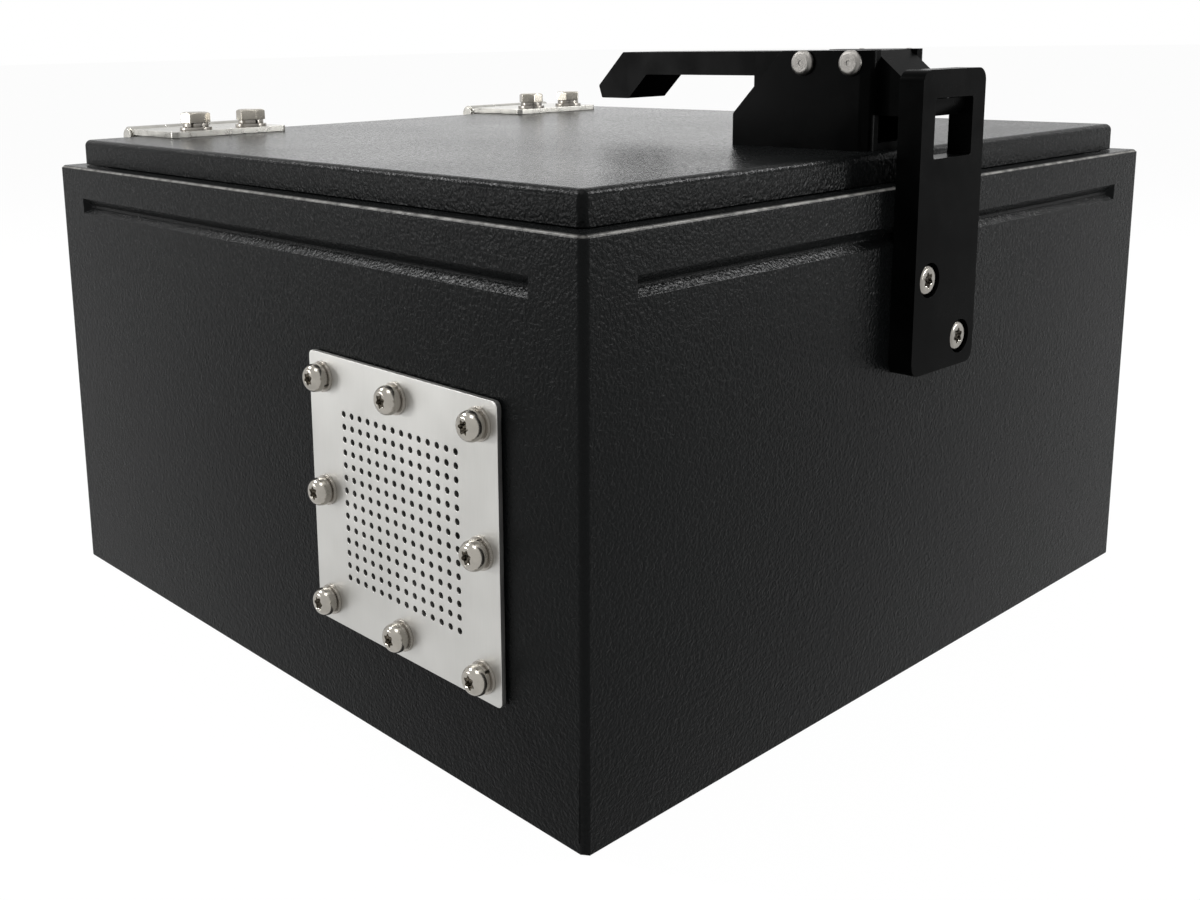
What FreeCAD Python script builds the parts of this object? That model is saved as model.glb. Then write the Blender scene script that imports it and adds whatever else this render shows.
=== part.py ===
"""Steel battery box: a powder-coated sheet box with a vented side, a hinged lid and a lever latch.

+Z is up, the origin is the middle of the underside, the latch side faces -Y, the hinges are at +Y
and the vent is in the -X wall. All sizes are in millimetres.
"""
import FreeCAD, Part
import os
import re

import Sketcher

SIZES = {
    "width": (380, "box, outside, along X"),
    "depth": (365, "box, outside, along Y"),
    "height": (205, "box, outside, up to the rim"),
    "wall": (2, "sheet of the box"),
    "corner_radius": (3, "upright corners of box and lid"),
    "foot_radius": (1.5, "bend between walls and floor"),
    "rim_width": (20, "flange folded in around the mouth"),
    "rim_radius": (1, "bend at the outer edge of the rim"),
    "lip_rise": (6, "upstand around the mouth, above the rim"),
    "lip_wall": (1.5, "sheet of the upstand"),
    "bead_height": (7.4, "pressed groove in each wall"),
    "bead_floor": (2.6, "flat bottom of the groove"),
    "bead_depth": (3, "depth of the groove"),
    "bead_drop": (18.5, "middle of the groove below the rim"),
    "bead_margin": (24, "groove's end to the corner of the box"),
    "lid_inset": (9, "rim left showing around the lid"),
    "lid_height": (12, "lid, outside"),
    "lid_wall": (1.5, "sheet of the lid"),
    "lid_gap": (0.3, "between the lid's edge and the rim"),
    "lid_radius": (4, "bend between the lid's top and sides"),
    "seal_width": (12, "rubber seal in the lid"),
    "vent_inset": (90.5, "middle of the vent from the front of the box"),
    "vent_rise": (93.5, "middle of the vent above the floor"),
    "vent_side": (108, "perforated plate, each way"),
    "vent_thick": (2, "perforated plate"),
    "vent_radius": (4, "corners of the perforated plate"),
    "vent_hole": (2.4, "diameter of a perforation"),
    "vent_pitch": (5, "perforation spacing"),
    "vent_rows": (14, "perforations each way"),
    "vent_screw_pitch": (45, "vent screws, three along each side"),
    "vent_gasket_thick": (1, "gasket under the plate"),
    "vent_mouth": (72, "opening in the wall, each way"),
    "filter_side": (82, "filter sheet, each way"),
    "filter_thick": (1, "filter sheet"),
    "filter_play": (0.5, "between the filter and its recess"),
    "frame_side": (104, "inner vent frame and the gasket, each way"),
    "frame_thick": (2.5, "inner vent frame"),
    "small_screw": (6, "vent screw, shank diameter"),
    "small_clearance": (6.6, "hole for a vent screw"),
    "small_head": (11, "vent screw, head diameter"),
    "small_head_rise": (4.2, "vent screw, head height"),
    "small_dome": (2.5, "vent screw, rounding of the head"),
    "small_socket": (5.6, "vent screw, six-lobed socket across its points"),
    "small_washer": (12, "flat washer under a vent screw"),
    "small_washer_thick": (1.2, "flat washer under a vent screw"),
    "small_spring_thick": (1.6, "spring washer under a vent screw"),
    "small_spring": (10, "spring washer under a vent screw, outside diameter"),
    "small_flats": (10, "vent nut, across flats"),
    "small_nut_rise": (5, "vent nut, height"),
    "bolt": (8, "hinge and strike bolts, shank diameter"),
    "bolt_clearance": (8.6, "hole for a hinge or strike bolt"),
    "bolt_flats": (13, "hinge bolt and its nut, across flats"),
    "bolt_head_rise": (5.3, "hinge bolt, head height"),
    "bolt_dome": (13, "hinge bolt, radius of the domed top"),
    "bolt_spring_thick": (2, "spring washer under a hinge bolt"),
    "bolt_washer": (16, "flat washer under a hinge bolt"),
    "bolt_washer_thick": (1.6, "flat washer under a hinge bolt"),
    "nut_rise": (6.5, "hinge and strike nuts, height"),
    "thread_end": (2, "shank standing past its nut"),
    "play": (0.05, "radial clearance of a thread or a pin that turns"),
    "seat_play": (0.02, "radial clearance of a pin that stays put"),
    "hinge_offset": (116, "middle of a hinge from the middle of the box"),
    "hinge_width": (66, "hinge leaf along X"),
    "hinge_leaf": (3, "hinge leaf, thickness"),
    "hinge_reach": (48, "lid leaf, from the hinge axis to its edge"),
    "hinge_fall": (55, "box leaf, from the hinge axis to its edge"),
    "hinge_corner": (3, "corners of the leaves"),
    "barrel": (10, "hinge barrel, outside diameter"),
    "hinge_gap": (0.5, "between a leaf and the knuckles it turns past"),
    "knuckle": (25.4, "middle knuckle, along X"),
    "knuckle_gap": (0.3, "between two knuckles"),
    "hinge_pin": (6, "hinge pin, diameter"),
    "pin_head": (8, "head of the hinge pin"),
    "pin_head_rise": (1.2, "head of the hinge pin"),
    "axis_drop": (0.8, "hinge axis below the top of the lid"),
    "bolt_spacing": (30, "bolts of one leaf"),
    "lid_bolt_reach": (40, "lid bolts from the hinge axis"),
    "box_bolt_fall": (45, "box bolts below the hinge axis"),
    "strike_width": (45, "strike plate along X"),
    "strike_thick": (10, "strike plate"),
    "strike_tail": (73, "bottom of the strike plate below the rim"),
    "strike_crown": (10.6, "metal above the strike window"),
    "strike_radius": (5, "corners of the strike plate"),
    "window_play": (1, "between the lever and each side of the strike window"),
    "window_height": (22.6, "strike window, upright"),
    "window_rise": (20.6, "top of the strike window above the lid"),
    "strike_screw_offset": (12, "strike screws each side of the middle"),
    "strike_screw_fall": (36, "upper strike screw below the rim"),
    "strike_screw_step": (25.5, "lower strike screw below the upper one"),
    "strike_head": (13, "strike screw, head diameter"),
    "strike_head_rise": (5, "strike screw, head height"),
    "strike_dome": (1, "strike screw, rounding of the head"),
    "strike_socket": (6.6, "strike screw, six-lobed socket across its points"),
    "strike_sink": (5.5, "counterbore of the strike plate"),
    "sink_play": (0.3, "between a strike head and its counterbore"),
    "pad_thick": (3, "backing plate behind the strike"),
    "latch_setback": (14.5, "front of the latch housing behind the front of the box"),
    "latch_length": (65.7, "latch housing along Y"),
    "latch_width": (40, "latch housing along X"),
    "latch_height": (38.5, "latch housing above the lid"),
    "latch_heel": (12.2, "upright back edge of the housing"),
    "latch_slope": (24.9, "run of the sloping back of the housing"),
    "latch_base": (3, "floor of the housing"),
    "latch_radius": (4.5, "front corners of the housing"),
    "latch_heel_radius": (1.5, "back corners of the housing"),
    "lever_width": (25, "lever along X"),
    "lever_play": (0.3, "between the lever and each cheek"),
    "lever_height": (38.3, "top of the lever above the lid"),
    "lever_length": (148.9, "back end of the lever's top behind the front of the box"),
    "lever_thick": (10, "lever's arm"),
    "grip_run": (15.3, "sloping end of the grip, along Y"),
    "grip_drop": (15.2, "sloping end of the grip, downwards"),
    "grip_depth": (20.8, "bottom of the grip below the lever's top"),
    "grip_foot": (16.6, "flat bottom of the grip"),
    "grip_lean": (3.3, "grip's bottom behind the lever's top"),
    "grip_throat": (14.3, "inner corner of the grip behind the lever's top"),
    "lever_edge": (1, "rounding of the lever's cross edges"),
    "root_reach": (74.5, "back of the lever's root behind the front of the box"),
    "nose_reach": (17.3, "start of the sloping nose behind the front of the box"),
    "nose_drop": (14, "sloping nose, downwards"),
    "nose_gap": (0.5, "between the nose and the strike plate"),
    "tongue_reach": (7, "tongue in front of the box"),
    "tongue_thick": (6.6, "tongue, upright"),
    "tongue_gap": (0.5, "between the tongue and the top of the window"),
    "tongue_chamfer": (2.5, "front of the tongue"),
    "pivot_reach": (22.8, "lever pivot behind the front of the box"),
    "pivot_rise": (33.7, "lever pins above the lid"),
    "stop_reach": (22, "stop pin behind the pivot"),
    "lever_swing": (28, "lever travel in degrees"),
    "latch_pin": (6, "lever pins, diameter"),
    "latch_pin_head": (10, "heads of the lever pins"),
    "latch_head_rise": (2.4, "heads of the lever pins"),
    "latch_head_round": (1.8, "rounding of the lever pins' heads"),
    "slot_play": (0.2, "between the stop pin and its slot"),
    "latch_screw": (5, "screws under the latch, diameter"),
    "latch_screw_clear": (5.6, "hole for a latch screw"),
    "latch_screw_head": (9, "screws under the latch, head"),
    "latch_screw_rise": (3, "screws under the latch, head height"),
    "latch_screw_dome": (1.8, "screws under the latch, rounding of the head"),
    "latch_socket": (4.5, "screws under the latch, six-lobed socket across its points"),
    "latch_screw_bite": (14, "latch screw in the housing"),
    "latch_screw_first": (35, "front latch screws behind the front of the box"),
    "latch_screw_step": (36, "back latch screws behind the front ones"),
    "plate_margin": (8.5, "backing plate past the latch screws"),
    "plate_thick": (2, "backing plate under the lid"),
    "plate_edge": (1, "backing plate past the heads of the latch screws"),
    "socket_depth": (2.4, "six-lobed socket in a screw head"),
    "spring_split": (1, "gap in a spring washer"),
    "overcut": (1, "length by which a cutter or a neck runs on past the face it meets"),
}

# Levels and lines that several pieces share, as rules on the sizes.
FRONT = "(0 - depth / 2)"
BACK = "(depth / 2)"
LEFT = "(0 - width / 2)"
RIM = "height"
LID_TOP = "(height + lid_gap + lid_height)"
LID_UNDER = "(height + lid_gap + lid_height - lid_wall)"
BEAD = "(height - bead_drop)"
VENT_Y = "(vent_inset - depth / 2)"
PLATE_FACE = "(0 - width / 2 - vent_gasket_thick - vent_thick)"
FRAME_FACE = "(wall + frame_thick - width / 2)"
HINGE_Y = "(depth / 2 + barrel / 2 + hinge_gap)"
HINGE_Z = f"({LID_TOP} - axis_drop)"
WINDOW_TOP = f"({LID_TOP} + window_rise)"
WINDOW_SILL = f"({WINDOW_TOP} - window_height)"
WINDOW_WIDTH = "(lever_width + 2 * window_play)"
STRIKE_TOP = f"({WINDOW_TOP} + strike_crown)"
STRIKE_FACE = "(0 - depth / 2 - strike_thick)"
PIVOT_Y = "(pivot_reach - depth / 2)"
PIN_Z = f"({LID_TOP} + pivot_rise)"
STOP_Y = f"({PIVOT_Y} + stop_reach)"
LEVER_TOP = f"({LID_TOP} + lever_height)"
TONGUE_TOP = f"({WINDOW_TOP} - tongue_gap)"
TONGUE_SOLE = f"({WINDOW_TOP} - tongue_gap - tongue_thick)"

LOBES = 6
SOCKET_WAIST = 0.74
SAME = 1e-3
TURN_TO = {
    "+Z": FreeCAD.Rotation(),
    "-Z": FreeCAD.Rotation(FreeCAD.Vector(1, 0, 0), 180),
    "-X": FreeCAD.Rotation(FreeCAD.Vector(0, 1, 0), -90),
    "+X": FreeCAD.Rotation(FreeCAD.Vector(0, 1, 0), 90),
    "-Y": FreeCAD.Rotation(FreeCAD.Vector(1, 0, 0), 90),
    "+Y": FreeCAD.Rotation(FreeCAD.Vector(1, 0, 0), -90),
}

doc = FreeCAD.newDocument("BatteryBox")
sheet = doc.addObject("Spreadsheet::Sheet", "Sizes")
for row, (alias, (size, note)) in enumerate(SIZES.items(), start=1):
    sheet.set(f"A{row}", str(size))
    sheet.setAlias(f"A{row}", alias)
    sheet.set(f"B{row}", note)
doc.recompute()
pieces = []


def cells(rule):
    """The rule with each size's name pointing at its cell of the sheet."""
    return re.sub(r"[a-z_]+", lambda word: "Sizes." + word[0] if word[0] in SIZES else word[0], str(rule))


def bind(thing, **rules):
    for name, rule in rules.items():
        thing.setExpression(name, cells(rule))
    return thing


def place(thing, x, y, z, facing="+Z"):
    thing.Placement.Rotation = TURN_TO[facing]
    for name, rule in zip("xyz", (x, y, z)):
        thing.setExpression(f"Placement.Base.{name}", cells(rule))
    return thing


def keep(thing, label):
    """Names a finished piece, which is then written out."""
    thing.Label = label
    pieces.append(thing)
    return thing


def new_body(name):
    return doc.addObject("PartDesign::Body", name)


def new_sketch(body, plane, level=0):
    """A sketch on one of the body's own planes, moved along the plane's normal by level."""
    sketch = body.newObject("Sketcher::SketchObject", f"{body.Name}_outline")
    face = [part for part in body.Origin.OriginFeatures if part.Role == f"{plane}_Plane"][0]
    sketch.AttachmentSupport = [(face, "")]
    sketch.MapMode = "FlatFace"
    sketch.setExpression("AttachmentOffset.Base.z", cells(level))
    return sketch


def rule_constraint(sketch, kind, rule, *places):
    found = sketch.evalExpression(cells(rule))
    number = sketch.addConstraint(Sketcher.Constraint(kind, *places, float(getattr(found, "Value", found))))
    sketch.setExpression(f"Constraints[{number}]", cells(rule))


def outline(sketch, corners):
    """A closed outline of straight lines, each corner held at its own rule."""
    spots = [[sketch.evalExpression(cells(rule)) for rule in corner] for corner in corners]
    spots = [FreeCAD.Vector(*[float(getattr(spot, "Value", spot)) for spot in pair]) for pair in spots]
    ends = spots[1:] + spots[:1]
    lines = [sketch.addGeometry(Part.LineSegment(a, b), False) for a, b in zip(spots, ends)]
    for line, following in zip(lines, lines[1:] + lines[:1]):
        sketch.addConstraint(Sketcher.Constraint("Coincident", line, 2, following, 1))
    for line, (across, up) in zip(lines, corners):
        rule_constraint(sketch, "DistanceX", across, line, 1)
        rule_constraint(sketch, "DistanceY", up, line, 1)


def rectangle(sketch, across, up, wide, tall):
    low_x, high_x = f"{across} - ({wide}) / 2", f"{across} + ({wide}) / 2"
    low_y, high_y = f"{up} - ({tall}) / 2", f"{up} + ({tall}) / 2"
    outline(sketch, [(low_x, low_y), (high_x, low_y), (high_x, high_y), (low_x, high_y)])


def circle(sketch, across, up, diameter):
    number = sketch.addGeometry(Part.Circle(FreeCAD.Vector(), FreeCAD.Vector(0, 0, 1), 1), False)
    rule_constraint(sketch, "Diameter", diameter, number)
    rule_constraint(sketch, "DistanceX", across, number, 3)
    rule_constraint(sketch, "DistanceY", up, number, 3)


def extrude(kind, body, sketch, length, both=False, backwards=False):
    feature = body.newObject(f"PartDesign::{kind}", f"{body.Name}_{kind.lower()}")
    feature.Profile = sketch
    feature.SideType = "Symmetric" if both else "One side"
    feature.Reversed = backwards
    bind(feature, Length=length)
    doc.recompute()
    return feature


def pad(body, sketch, length, **how):
    return extrude("Pad", body, sketch, length, **how)


def pocket(body, sketch, length, **how):
    before = body.Shape.Volume
    feature = extrude("Pocket", body, sketch, length, **how)
    if body.Shape.Volume > before - SAME:
        raise ValueError(f"{feature.Name} cuts nothing")
    return feature


def soften(body, radius, picked):
    """Rounds the edges that picked chooses on the body as it stands."""
    chosen = [f"Edge{i}" for i, edge in enumerate(body.Shape.Edges, start=1) if picked(edge)]
    sharp = body.Tip
    feature = body.newObject("PartDesign::Fillet", f"{body.Name}_fillet")
    feature.Base = (sharp, chosen)
    bind(feature, Radius=radius)
    doc.recompute()
    return feature


def runs_along(edge, axis):
    """True for a straight edge along the axis, 0 for X, 1 for Y and 2 for Z."""
    if not isinstance(edge.Curve, Part.Line):
        return False
    return abs(abs(edge.Curve.Direction[axis]) - 1) < SAME


def spot(rule):
    found = gauge.evalExpression(cells(rule))
    return float(getattr(found, "Value", found))


def level_with(edge, axis, rule):
    """True where the middle of the edge lies at the rule's place on the axis."""
    return abs(edge.CenterOfGravity[axis] - spot(rule)) < SAME


def block(name, x, y, z):
    """A box between two rules along each axis."""
    solid = doc.addObject("Part::Box", name)
    for side, (low, high) in zip(("Length", "Width", "Height"), (x, y, z)):
        solid.setExpression(side, cells(f"({high}) - ({low})"))
    return place(solid, x[0], y[0], z[0])


def rod(name, diameter, length, at, facing="+Z"):
    solid = bind(doc.addObject("Part::Cylinder", name), Radius=f"({diameter}) / 2", Height=length)
    return place(solid, *at, facing)


def joined(name, *solids):
    whole = doc.addObject("Part::MultiFuse", name)
    whole.Shapes = list(solids)
    return whole


def less(name, base, *tools):
    whole = doc.addObject("Part::Cut", name)
    whole.Base = base
    whole.Tool = tools[0] if len(tools) == 1 else joined(f"{name}_tools", *tools)
    return whole


def copies(label, master, places):
    """One piece of several like solids: the master repeated at each (x, y, z, facing)."""
    links = []
    for x, y, z, facing in places:
        link = doc.addObject("App::Link", f"{label}_copy")
        link.LinkedObject = master
        links.append(place(link, x, y, z, facing))
    group = doc.addObject("Part::Compound", label)
    group.Links = links
    return keep(group, label)


gauge = doc.addObject("Part::Vertex", "Gauge")
SIDES = {"left": "(0 - hinge_offset)", "right": "hinge_offset"}
VENT_SCREWS = [(across, up) for across in (-1, 0, 1) for up in (-1, 0, 1) if (across, up) != (0, 0)]
VENT_PLACES = [(f"{VENT_Y} + {across} * vent_screw_pitch", f"vent_rise + {up} * vent_screw_pitch")
               for across, up in VENT_SCREWS]
STRIKE_PLACES = [
    ("(0 - strike_screw_offset)", "(height - strike_screw_fall)"),
    ("strike_screw_offset", "(height - strike_screw_fall - strike_screw_step)"),
]
BOLT_LINES = [f"({middle} + {side} * bolt_spacing / 2)" for middle in SIDES.values() for side in (-1, 1)]
LID_BOLT_Y = f"({HINGE_Y} - lid_bolt_reach)"
BOX_BOLT_Z = f"({HINGE_Z} - box_bolt_fall)"
CHEEK_MIDDLE = "(latch_width / 4 + lever_width / 4 + lever_play / 2)"
LATCH_SCREWS = [
    (f"{side} * {CHEEK_MIDDLE}", f"(latch_screw_first + {step} * latch_screw_step - depth / 2)")
    for side in (-1, 1)
    for step in (0, 1)
]


# The box: a folded floor and walls, a flange folded in around the mouth and an upstand for the seal.
def make_bead(body, plane, face, inward, run):
    """A groove pressed into one wall, which shows as a ridge on the inside."""
    bottom, top = f"({BEAD} - bead_height / 2)", f"({BEAD} + bead_height / 2)"
    low, high = f"({BEAD} - bead_floor / 2)", f"({BEAD} + bead_floor / 2)"
    inner, deep = f"({face} + {inward} * wall)", f"({face} + {inward} * (wall + bead_depth))"
    ridge = new_sketch(body, plane)
    outline(ridge, [(inner, f"{bottom} - wall / 2"), (deep, low), (deep, high), (inner, f"{top} + wall / 2")])
    pad(body, ridge, f"({run}) + 2 * wall", both=True)
    groove = new_sketch(body, plane)
    floor = f"({face} + {inward} * bead_depth)"
    outline(groove, [(face, bottom), (floor, low), (floor, high), (face, top)])
    pocket(body, groove, run, both=True)


def holes(body, plane, level, places, diameter, depth, backwards):
    sketch = new_sketch(body, plane, level)
    for across, up in places:
        circle(sketch, across, up, diameter)
    pocket(body, sketch, depth, backwards=backwards)


def make_box_shell():
    body = new_body("BoxShell")
    plan = new_sketch(body, "XY")
    rectangle(plan, "0", "0", "width", "depth")
    pad(body, plan, "height")
    soften(body, "corner_radius", lambda edge: runs_along(edge, 2))
    soften(body, "rim_radius", lambda edge: level_with(edge, 2, RIM))
    soften(body, "foot_radius", lambda edge: level_with(edge, 2, "0"))
    inside = new_sketch(body, "XY", "height - wall")
    rectangle(inside, "0", "0", "width - 2 * wall", "depth - 2 * wall")
    pocket(body, inside, "height - 2 * wall")
    mouth = new_sketch(body, "XY", RIM)
    rectangle(mouth, "0", "0", "width - 2 * rim_width", "depth - 2 * rim_width")
    pocket(body, mouth, "wall * 2")
    lip = new_sketch(body, "XY", RIM)
    rectangle(lip, "0", "0", "width - 2 * rim_width", "depth - 2 * rim_width")
    rectangle(lip, "0", "0", "width - 2 * (rim_width - lip_wall)", "depth - 2 * (rim_width - lip_wall)")
    pad(body, lip, "lip_rise")
    make_bead(body, "YZ", FRONT, 1, "width - 2 * bead_margin")
    make_bead(body, "YZ", BACK, -1, "width - 2 * bead_margin")
    make_bead(body, "XZ", LEFT, 1, "depth - 2 * bead_margin")
    make_bead(body, "XZ", "(width / 2)", -1, "depth - 2 * bead_margin")
    vent = new_sketch(body, "YZ", LEFT)
    rectangle(vent, VENT_Y, "vent_rise", "vent_mouth", "vent_mouth")
    pocket(body, vent, "wall * 1.5", backwards=True)
    holes(body, "YZ", LEFT, VENT_PLACES, "small_clearance", "wall * 1.5", True)
    holes(body, "XZ", "depth / 2", STRIKE_PLACES, "bolt_clearance", "wall * 1.5", False)
    holes(body, "XZ", FRONT, [(x, BOX_BOLT_Z) for x in BOLT_LINES], "bolt_clearance", "wall * 1.5", True)
    keep(body, "box_shell")


# The vent: a perforated stainless plate over a gasket outside, a filter and a frame inside.
def make_vent_sheet(label, face, thick, side, mouth=None):
    """A square sheet on the left wall, drilled for the vent screws. Face is its outer side."""
    body = new_body(label)
    sketch = new_sketch(body, "YZ", face)
    rectangle(sketch, VENT_Y, "vent_rise", side, side)
    if mouth:
        rectangle(sketch, VENT_Y, "vent_rise", mouth, mouth)
    for across, up in VENT_PLACES:
        circle(sketch, across, up, "small_clearance")
    pad(body, sketch, thick)
    return keep(body, label)


def make_vent():
    plate = make_vent_sheet("vent_plate", PLATE_FACE, "vent_thick", "vent_side")
    half = spot("vent_side") / 2
    soften(plate, "vent_radius",
           lambda edge: runs_along(edge, 0) and abs(abs(edge.CenterOfGravity.y - spot(VENT_Y)) - half) < SAME)
    first = new_sketch(plate, "YZ", PLATE_FACE)
    start = "(vent_rows - 1) / 2 * vent_pitch"
    circle(first, f"{VENT_Y} - {start}", f"vent_rise - {start}", "vent_hole")
    hole = pocket(plate, first, "vent_thick", backwards=True)
    grid = plate.newObject("PartDesign::MultiTransform", "VentGrid")
    grid.Originals = [hole]
    rows = []
    for way in ("H_Axis", "V_Axis"):
        line = plate.newObject("PartDesign::LinearPattern", "VentRow")
        line.Direction = (first, [way])
        bind(line, Length="(vent_rows - 1) * vent_pitch", Occurrences="vent_rows")
        rows.append(line)
    grid.Transformations = rows
    plate.Tip = grid
    make_vent_sheet("vent_gasket", f"{LEFT} - vent_gasket_thick", "vent_gasket_thick", "frame_side",
                    "vent_mouth")
    frame = make_vent_sheet("vent_inner_frame", f"{LEFT} + wall", "frame_thick", "frame_side", "vent_mouth")
    recess = new_sketch(frame, "YZ", f"{LEFT} + wall")
    seat = "(filter_side + 2 * filter_play)"
    rectangle(recess, VENT_Y, "vent_rise", seat, seat)
    pocket(frame, recess, "filter_thick", backwards=True)
    ends = [(f"({middle}) - filter_side / 2", f"({middle}) + filter_side / 2")
            for middle in (VENT_Y, "vent_rise")]
    inner = f"({LEFT} + wall)"
    keep(block("VentFilter", (inner, f"{inner} + filter_thick"), *ends), "vent_filter")


# Fasteners: each master stands at the origin, its head's seat at z = 0 and its shank going down.
def make_socket(body, top, across):
    """A six-pointed socket sunk into the top of a screw head."""
    star = new_sketch(body, "XY", top)
    corners = []
    for number in range(2 * LOBES):
        reach = f"({across}) / 2 * {1 if number % 2 == 0 else SOCKET_WAIST}"
        turn = number * 180 / LOBES
        corners.append((f"{reach} * cos({turn})", f"{reach} * sin({turn})"))
    outline(star, corners)
    pocket(body, star, "socket_depth")


def make_screw(name, shank, length, head, rise, dome, socket):
    body = new_body(name)
    cap = new_sketch(body, "XY")
    circle(cap, "0", "0", head)
    pad(body, cap, rise)
    soften(body, dome, lambda edge: level_with(edge, 2, rise))
    stem = new_sketch(body, "XY")
    circle(stem, "0", "0", shank)
    pad(body, stem, length, backwards=True)
    make_socket(body, rise, socket)
    return body


def make_hex(name, flats, rise, bore=None):
    """A hexagon standing on z = 0: a nut when it has a bore."""
    solid = bind(doc.addObject("Part::Prism", name), Circumradius=f"({flats}) / 2 / cos(30)", Height=rise)
    solid.Polygon = LOBES
    if bore:
        hole = rod(f"{name}_bore", bore, f"({rise}) * 2", ("0", "0", f"0 - ({rise}) / 2"))
        return less(f"{name}_bored", solid, hole)
    return solid


def make_bolt(name, length):
    """A hexagon-headed bolt whose head has a domed top."""
    head = make_hex(f"{name}_head", "bolt_flats", "bolt_head_rise")
    dome = doc.addObject("Part::Sphere", f"{name}_dome")
    bind(dome, Radius="bolt_dome")
    place(dome, "0", "0", "bolt_head_rise - bolt_dome")
    trimmed = doc.addObject("Part::Common", f"{name}_domed")
    trimmed.Base, trimmed.Tool = head, dome
    return joined(name, trimmed, rod(f"{name}_shank", "bolt", length, ("0", "0", "0"), "-Z"))


def make_ring(name, outside, bore, thick, split=False):
    ring = less(name, rod(f"{name}_disc", outside, thick, ("0", "0", "0")),
                rod(f"{name}_bore", bore, f"({thick}) * 2", ("0", "0", f"0 - ({thick}) / 2")))
    if not split:
        return ring
    gap = block(f"{name}_gap", ("0", outside), ("0 - spring_split / 2", "spring_split / 2"),
                (f"0 - ({thick})", f"2 * ({thick})"))
    return less(f"{name}_split", ring, gap)


def make_vent_fasteners():
    stack = "(small_washer_thick + small_spring_thick)"
    grip = f"({stack} + vent_thick + vent_gasket_thick + wall + frame_thick)"
    screw = make_screw("SmallScrew", "small_screw", f"{grip} + small_nut_rise + thread_end",
                       "small_head", "small_head_rise", "small_dome", "small_socket")
    washer = make_ring("SmallWasher", "small_washer", "small_clearance", "small_washer_thick")
    spring = make_ring("SmallSpring", "small_spring", "small_clearance", "small_spring_thick", split=True)
    nut = make_hex("SmallNut", "small_flats", "small_nut_rise", "small_screw + 2 * play")
    rows = (
        ("vent_screws", screw, f"{PLATE_FACE} - {stack}", "-X"),
        ("vent_spring_washers", spring, f"{PLATE_FACE} - small_washer_thick", "-X"),
        ("vent_flat_washers", washer, PLATE_FACE, "-X"),
        ("vent_nuts", nut, FRAME_FACE, "+X"),
    )
    for label, master, x, facing in rows:
        copies(label, master, [(x, y, z, facing) for y, z in VENT_PLACES])


# The strike: a thick steel plate on the front wall whose window catches the lever's tongue.
def make_strike():
    body = new_body("StrikeBracket")
    foot = "(height - strike_tail)"
    sketch = new_sketch(body, "XZ", "depth / 2")
    rectangle(sketch, "0", f"({foot} + {STRIKE_TOP}) / 2", "strike_width", f"{STRIKE_TOP} - {foot}")
    rectangle(sketch, "0", f"({WINDOW_TOP} + {WINDOW_SILL}) / 2", WINDOW_WIDTH, "window_height")
    pad(body, sketch, "strike_thick")
    half = spot("strike_width") / 2
    soften(body, "strike_radius",
           lambda edge: runs_along(edge, 1) and abs(abs(edge.CenterOfGravity.x) - half) < SAME)
    for across, up in STRIKE_PLACES:
        for bore, deep in (("strike_head + 2 * sink_play", "strike_sink"),
                           ("bolt_clearance", "strike_thick + overcut")):
            holes(body, "XZ", f"0 - {STRIKE_FACE}", [(across, up)], bore, deep, False)
    keep(body, "strike_bracket")

    inner = f"({FRONT} + wall)"
    pad_face = f"({inner} + pad_thick)"
    top = f"({BEAD} - bead_height / 2 - wall)"
    backing = block("StrikeBacking", ("0 - strike_width / 2", "strike_width / 2"), (inner, pad_face),
                    (foot, top))
    bores = [rod("BackingBore", "bolt_clearance", "pad_thick * 3", (x, f"{inner} - pad_thick", z), "+Y")
             for x, z in STRIKE_PLACES]
    keep(less("StrikeBackingDrilled", backing, *bores), "strike_backing_plate")

    seat = f"({STRIKE_FACE} + strike_sink)"
    reach = f"({pad_face} - {seat} + bolt_washer_thick + nut_rise + thread_end)"
    screw = make_screw("StrikeScrew", "bolt", reach, "strike_head", "strike_head_rise",
                       "strike_dome", "strike_socket")
    copies("strike_screws", screw, [(x, seat, z, "-Y") for x, z in STRIKE_PLACES])


# The hinges: a leaf on the lid, a leaf on the back wall and a pin held in the outer knuckles.
def make_leaf(name, plate, knuckles, bolt_places, facing, reach):
    """A leaf plate with its knuckles. Each knuckle is (start, end) along X, with a neck to the plate."""
    parts = [plate]
    for start, end, neck in knuckles:
        knuckle = rod(f"{name}_knuckle", "barrel", f"({end}) - ({start})", (start, HINGE_Y, HINGE_Z), "+X")
        parts += [neck, knuckle]
    bores = [rod(f"{name}_hole", "bolt_clearance", "hinge_leaf * 3", at, facing) for at in bolt_places]
    pin_play = "play" if len(knuckles) == 1 else "seat_play"
    start = knuckles[0][0]
    bores.append(rod(f"{name}_bore", f"hinge_pin + 2 * {pin_play}", reach,
                     (f"({start}) - overcut", HINGE_Y, HINGE_Z), "+X"))
    return less(name, joined(f"{name}_whole", *parts), *bores)


def leaf_plate(name, plane, level, middle, up, tall, far):
    """The flat of a leaf, with the two corners away from the barrel rounded."""
    body = new_body(name)
    sketch = new_sketch(body, plane, level)
    rectangle(sketch, middle, up, "hinge_width", tall)
    pad(body, sketch, "hinge_leaf")
    axis, rule = far
    thin = 2 if plane == "XY" else 1
    soften(body, "hinge_corner", lambda edge: runs_along(edge, thin) and level_with(edge, axis, rule))
    return body


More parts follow.
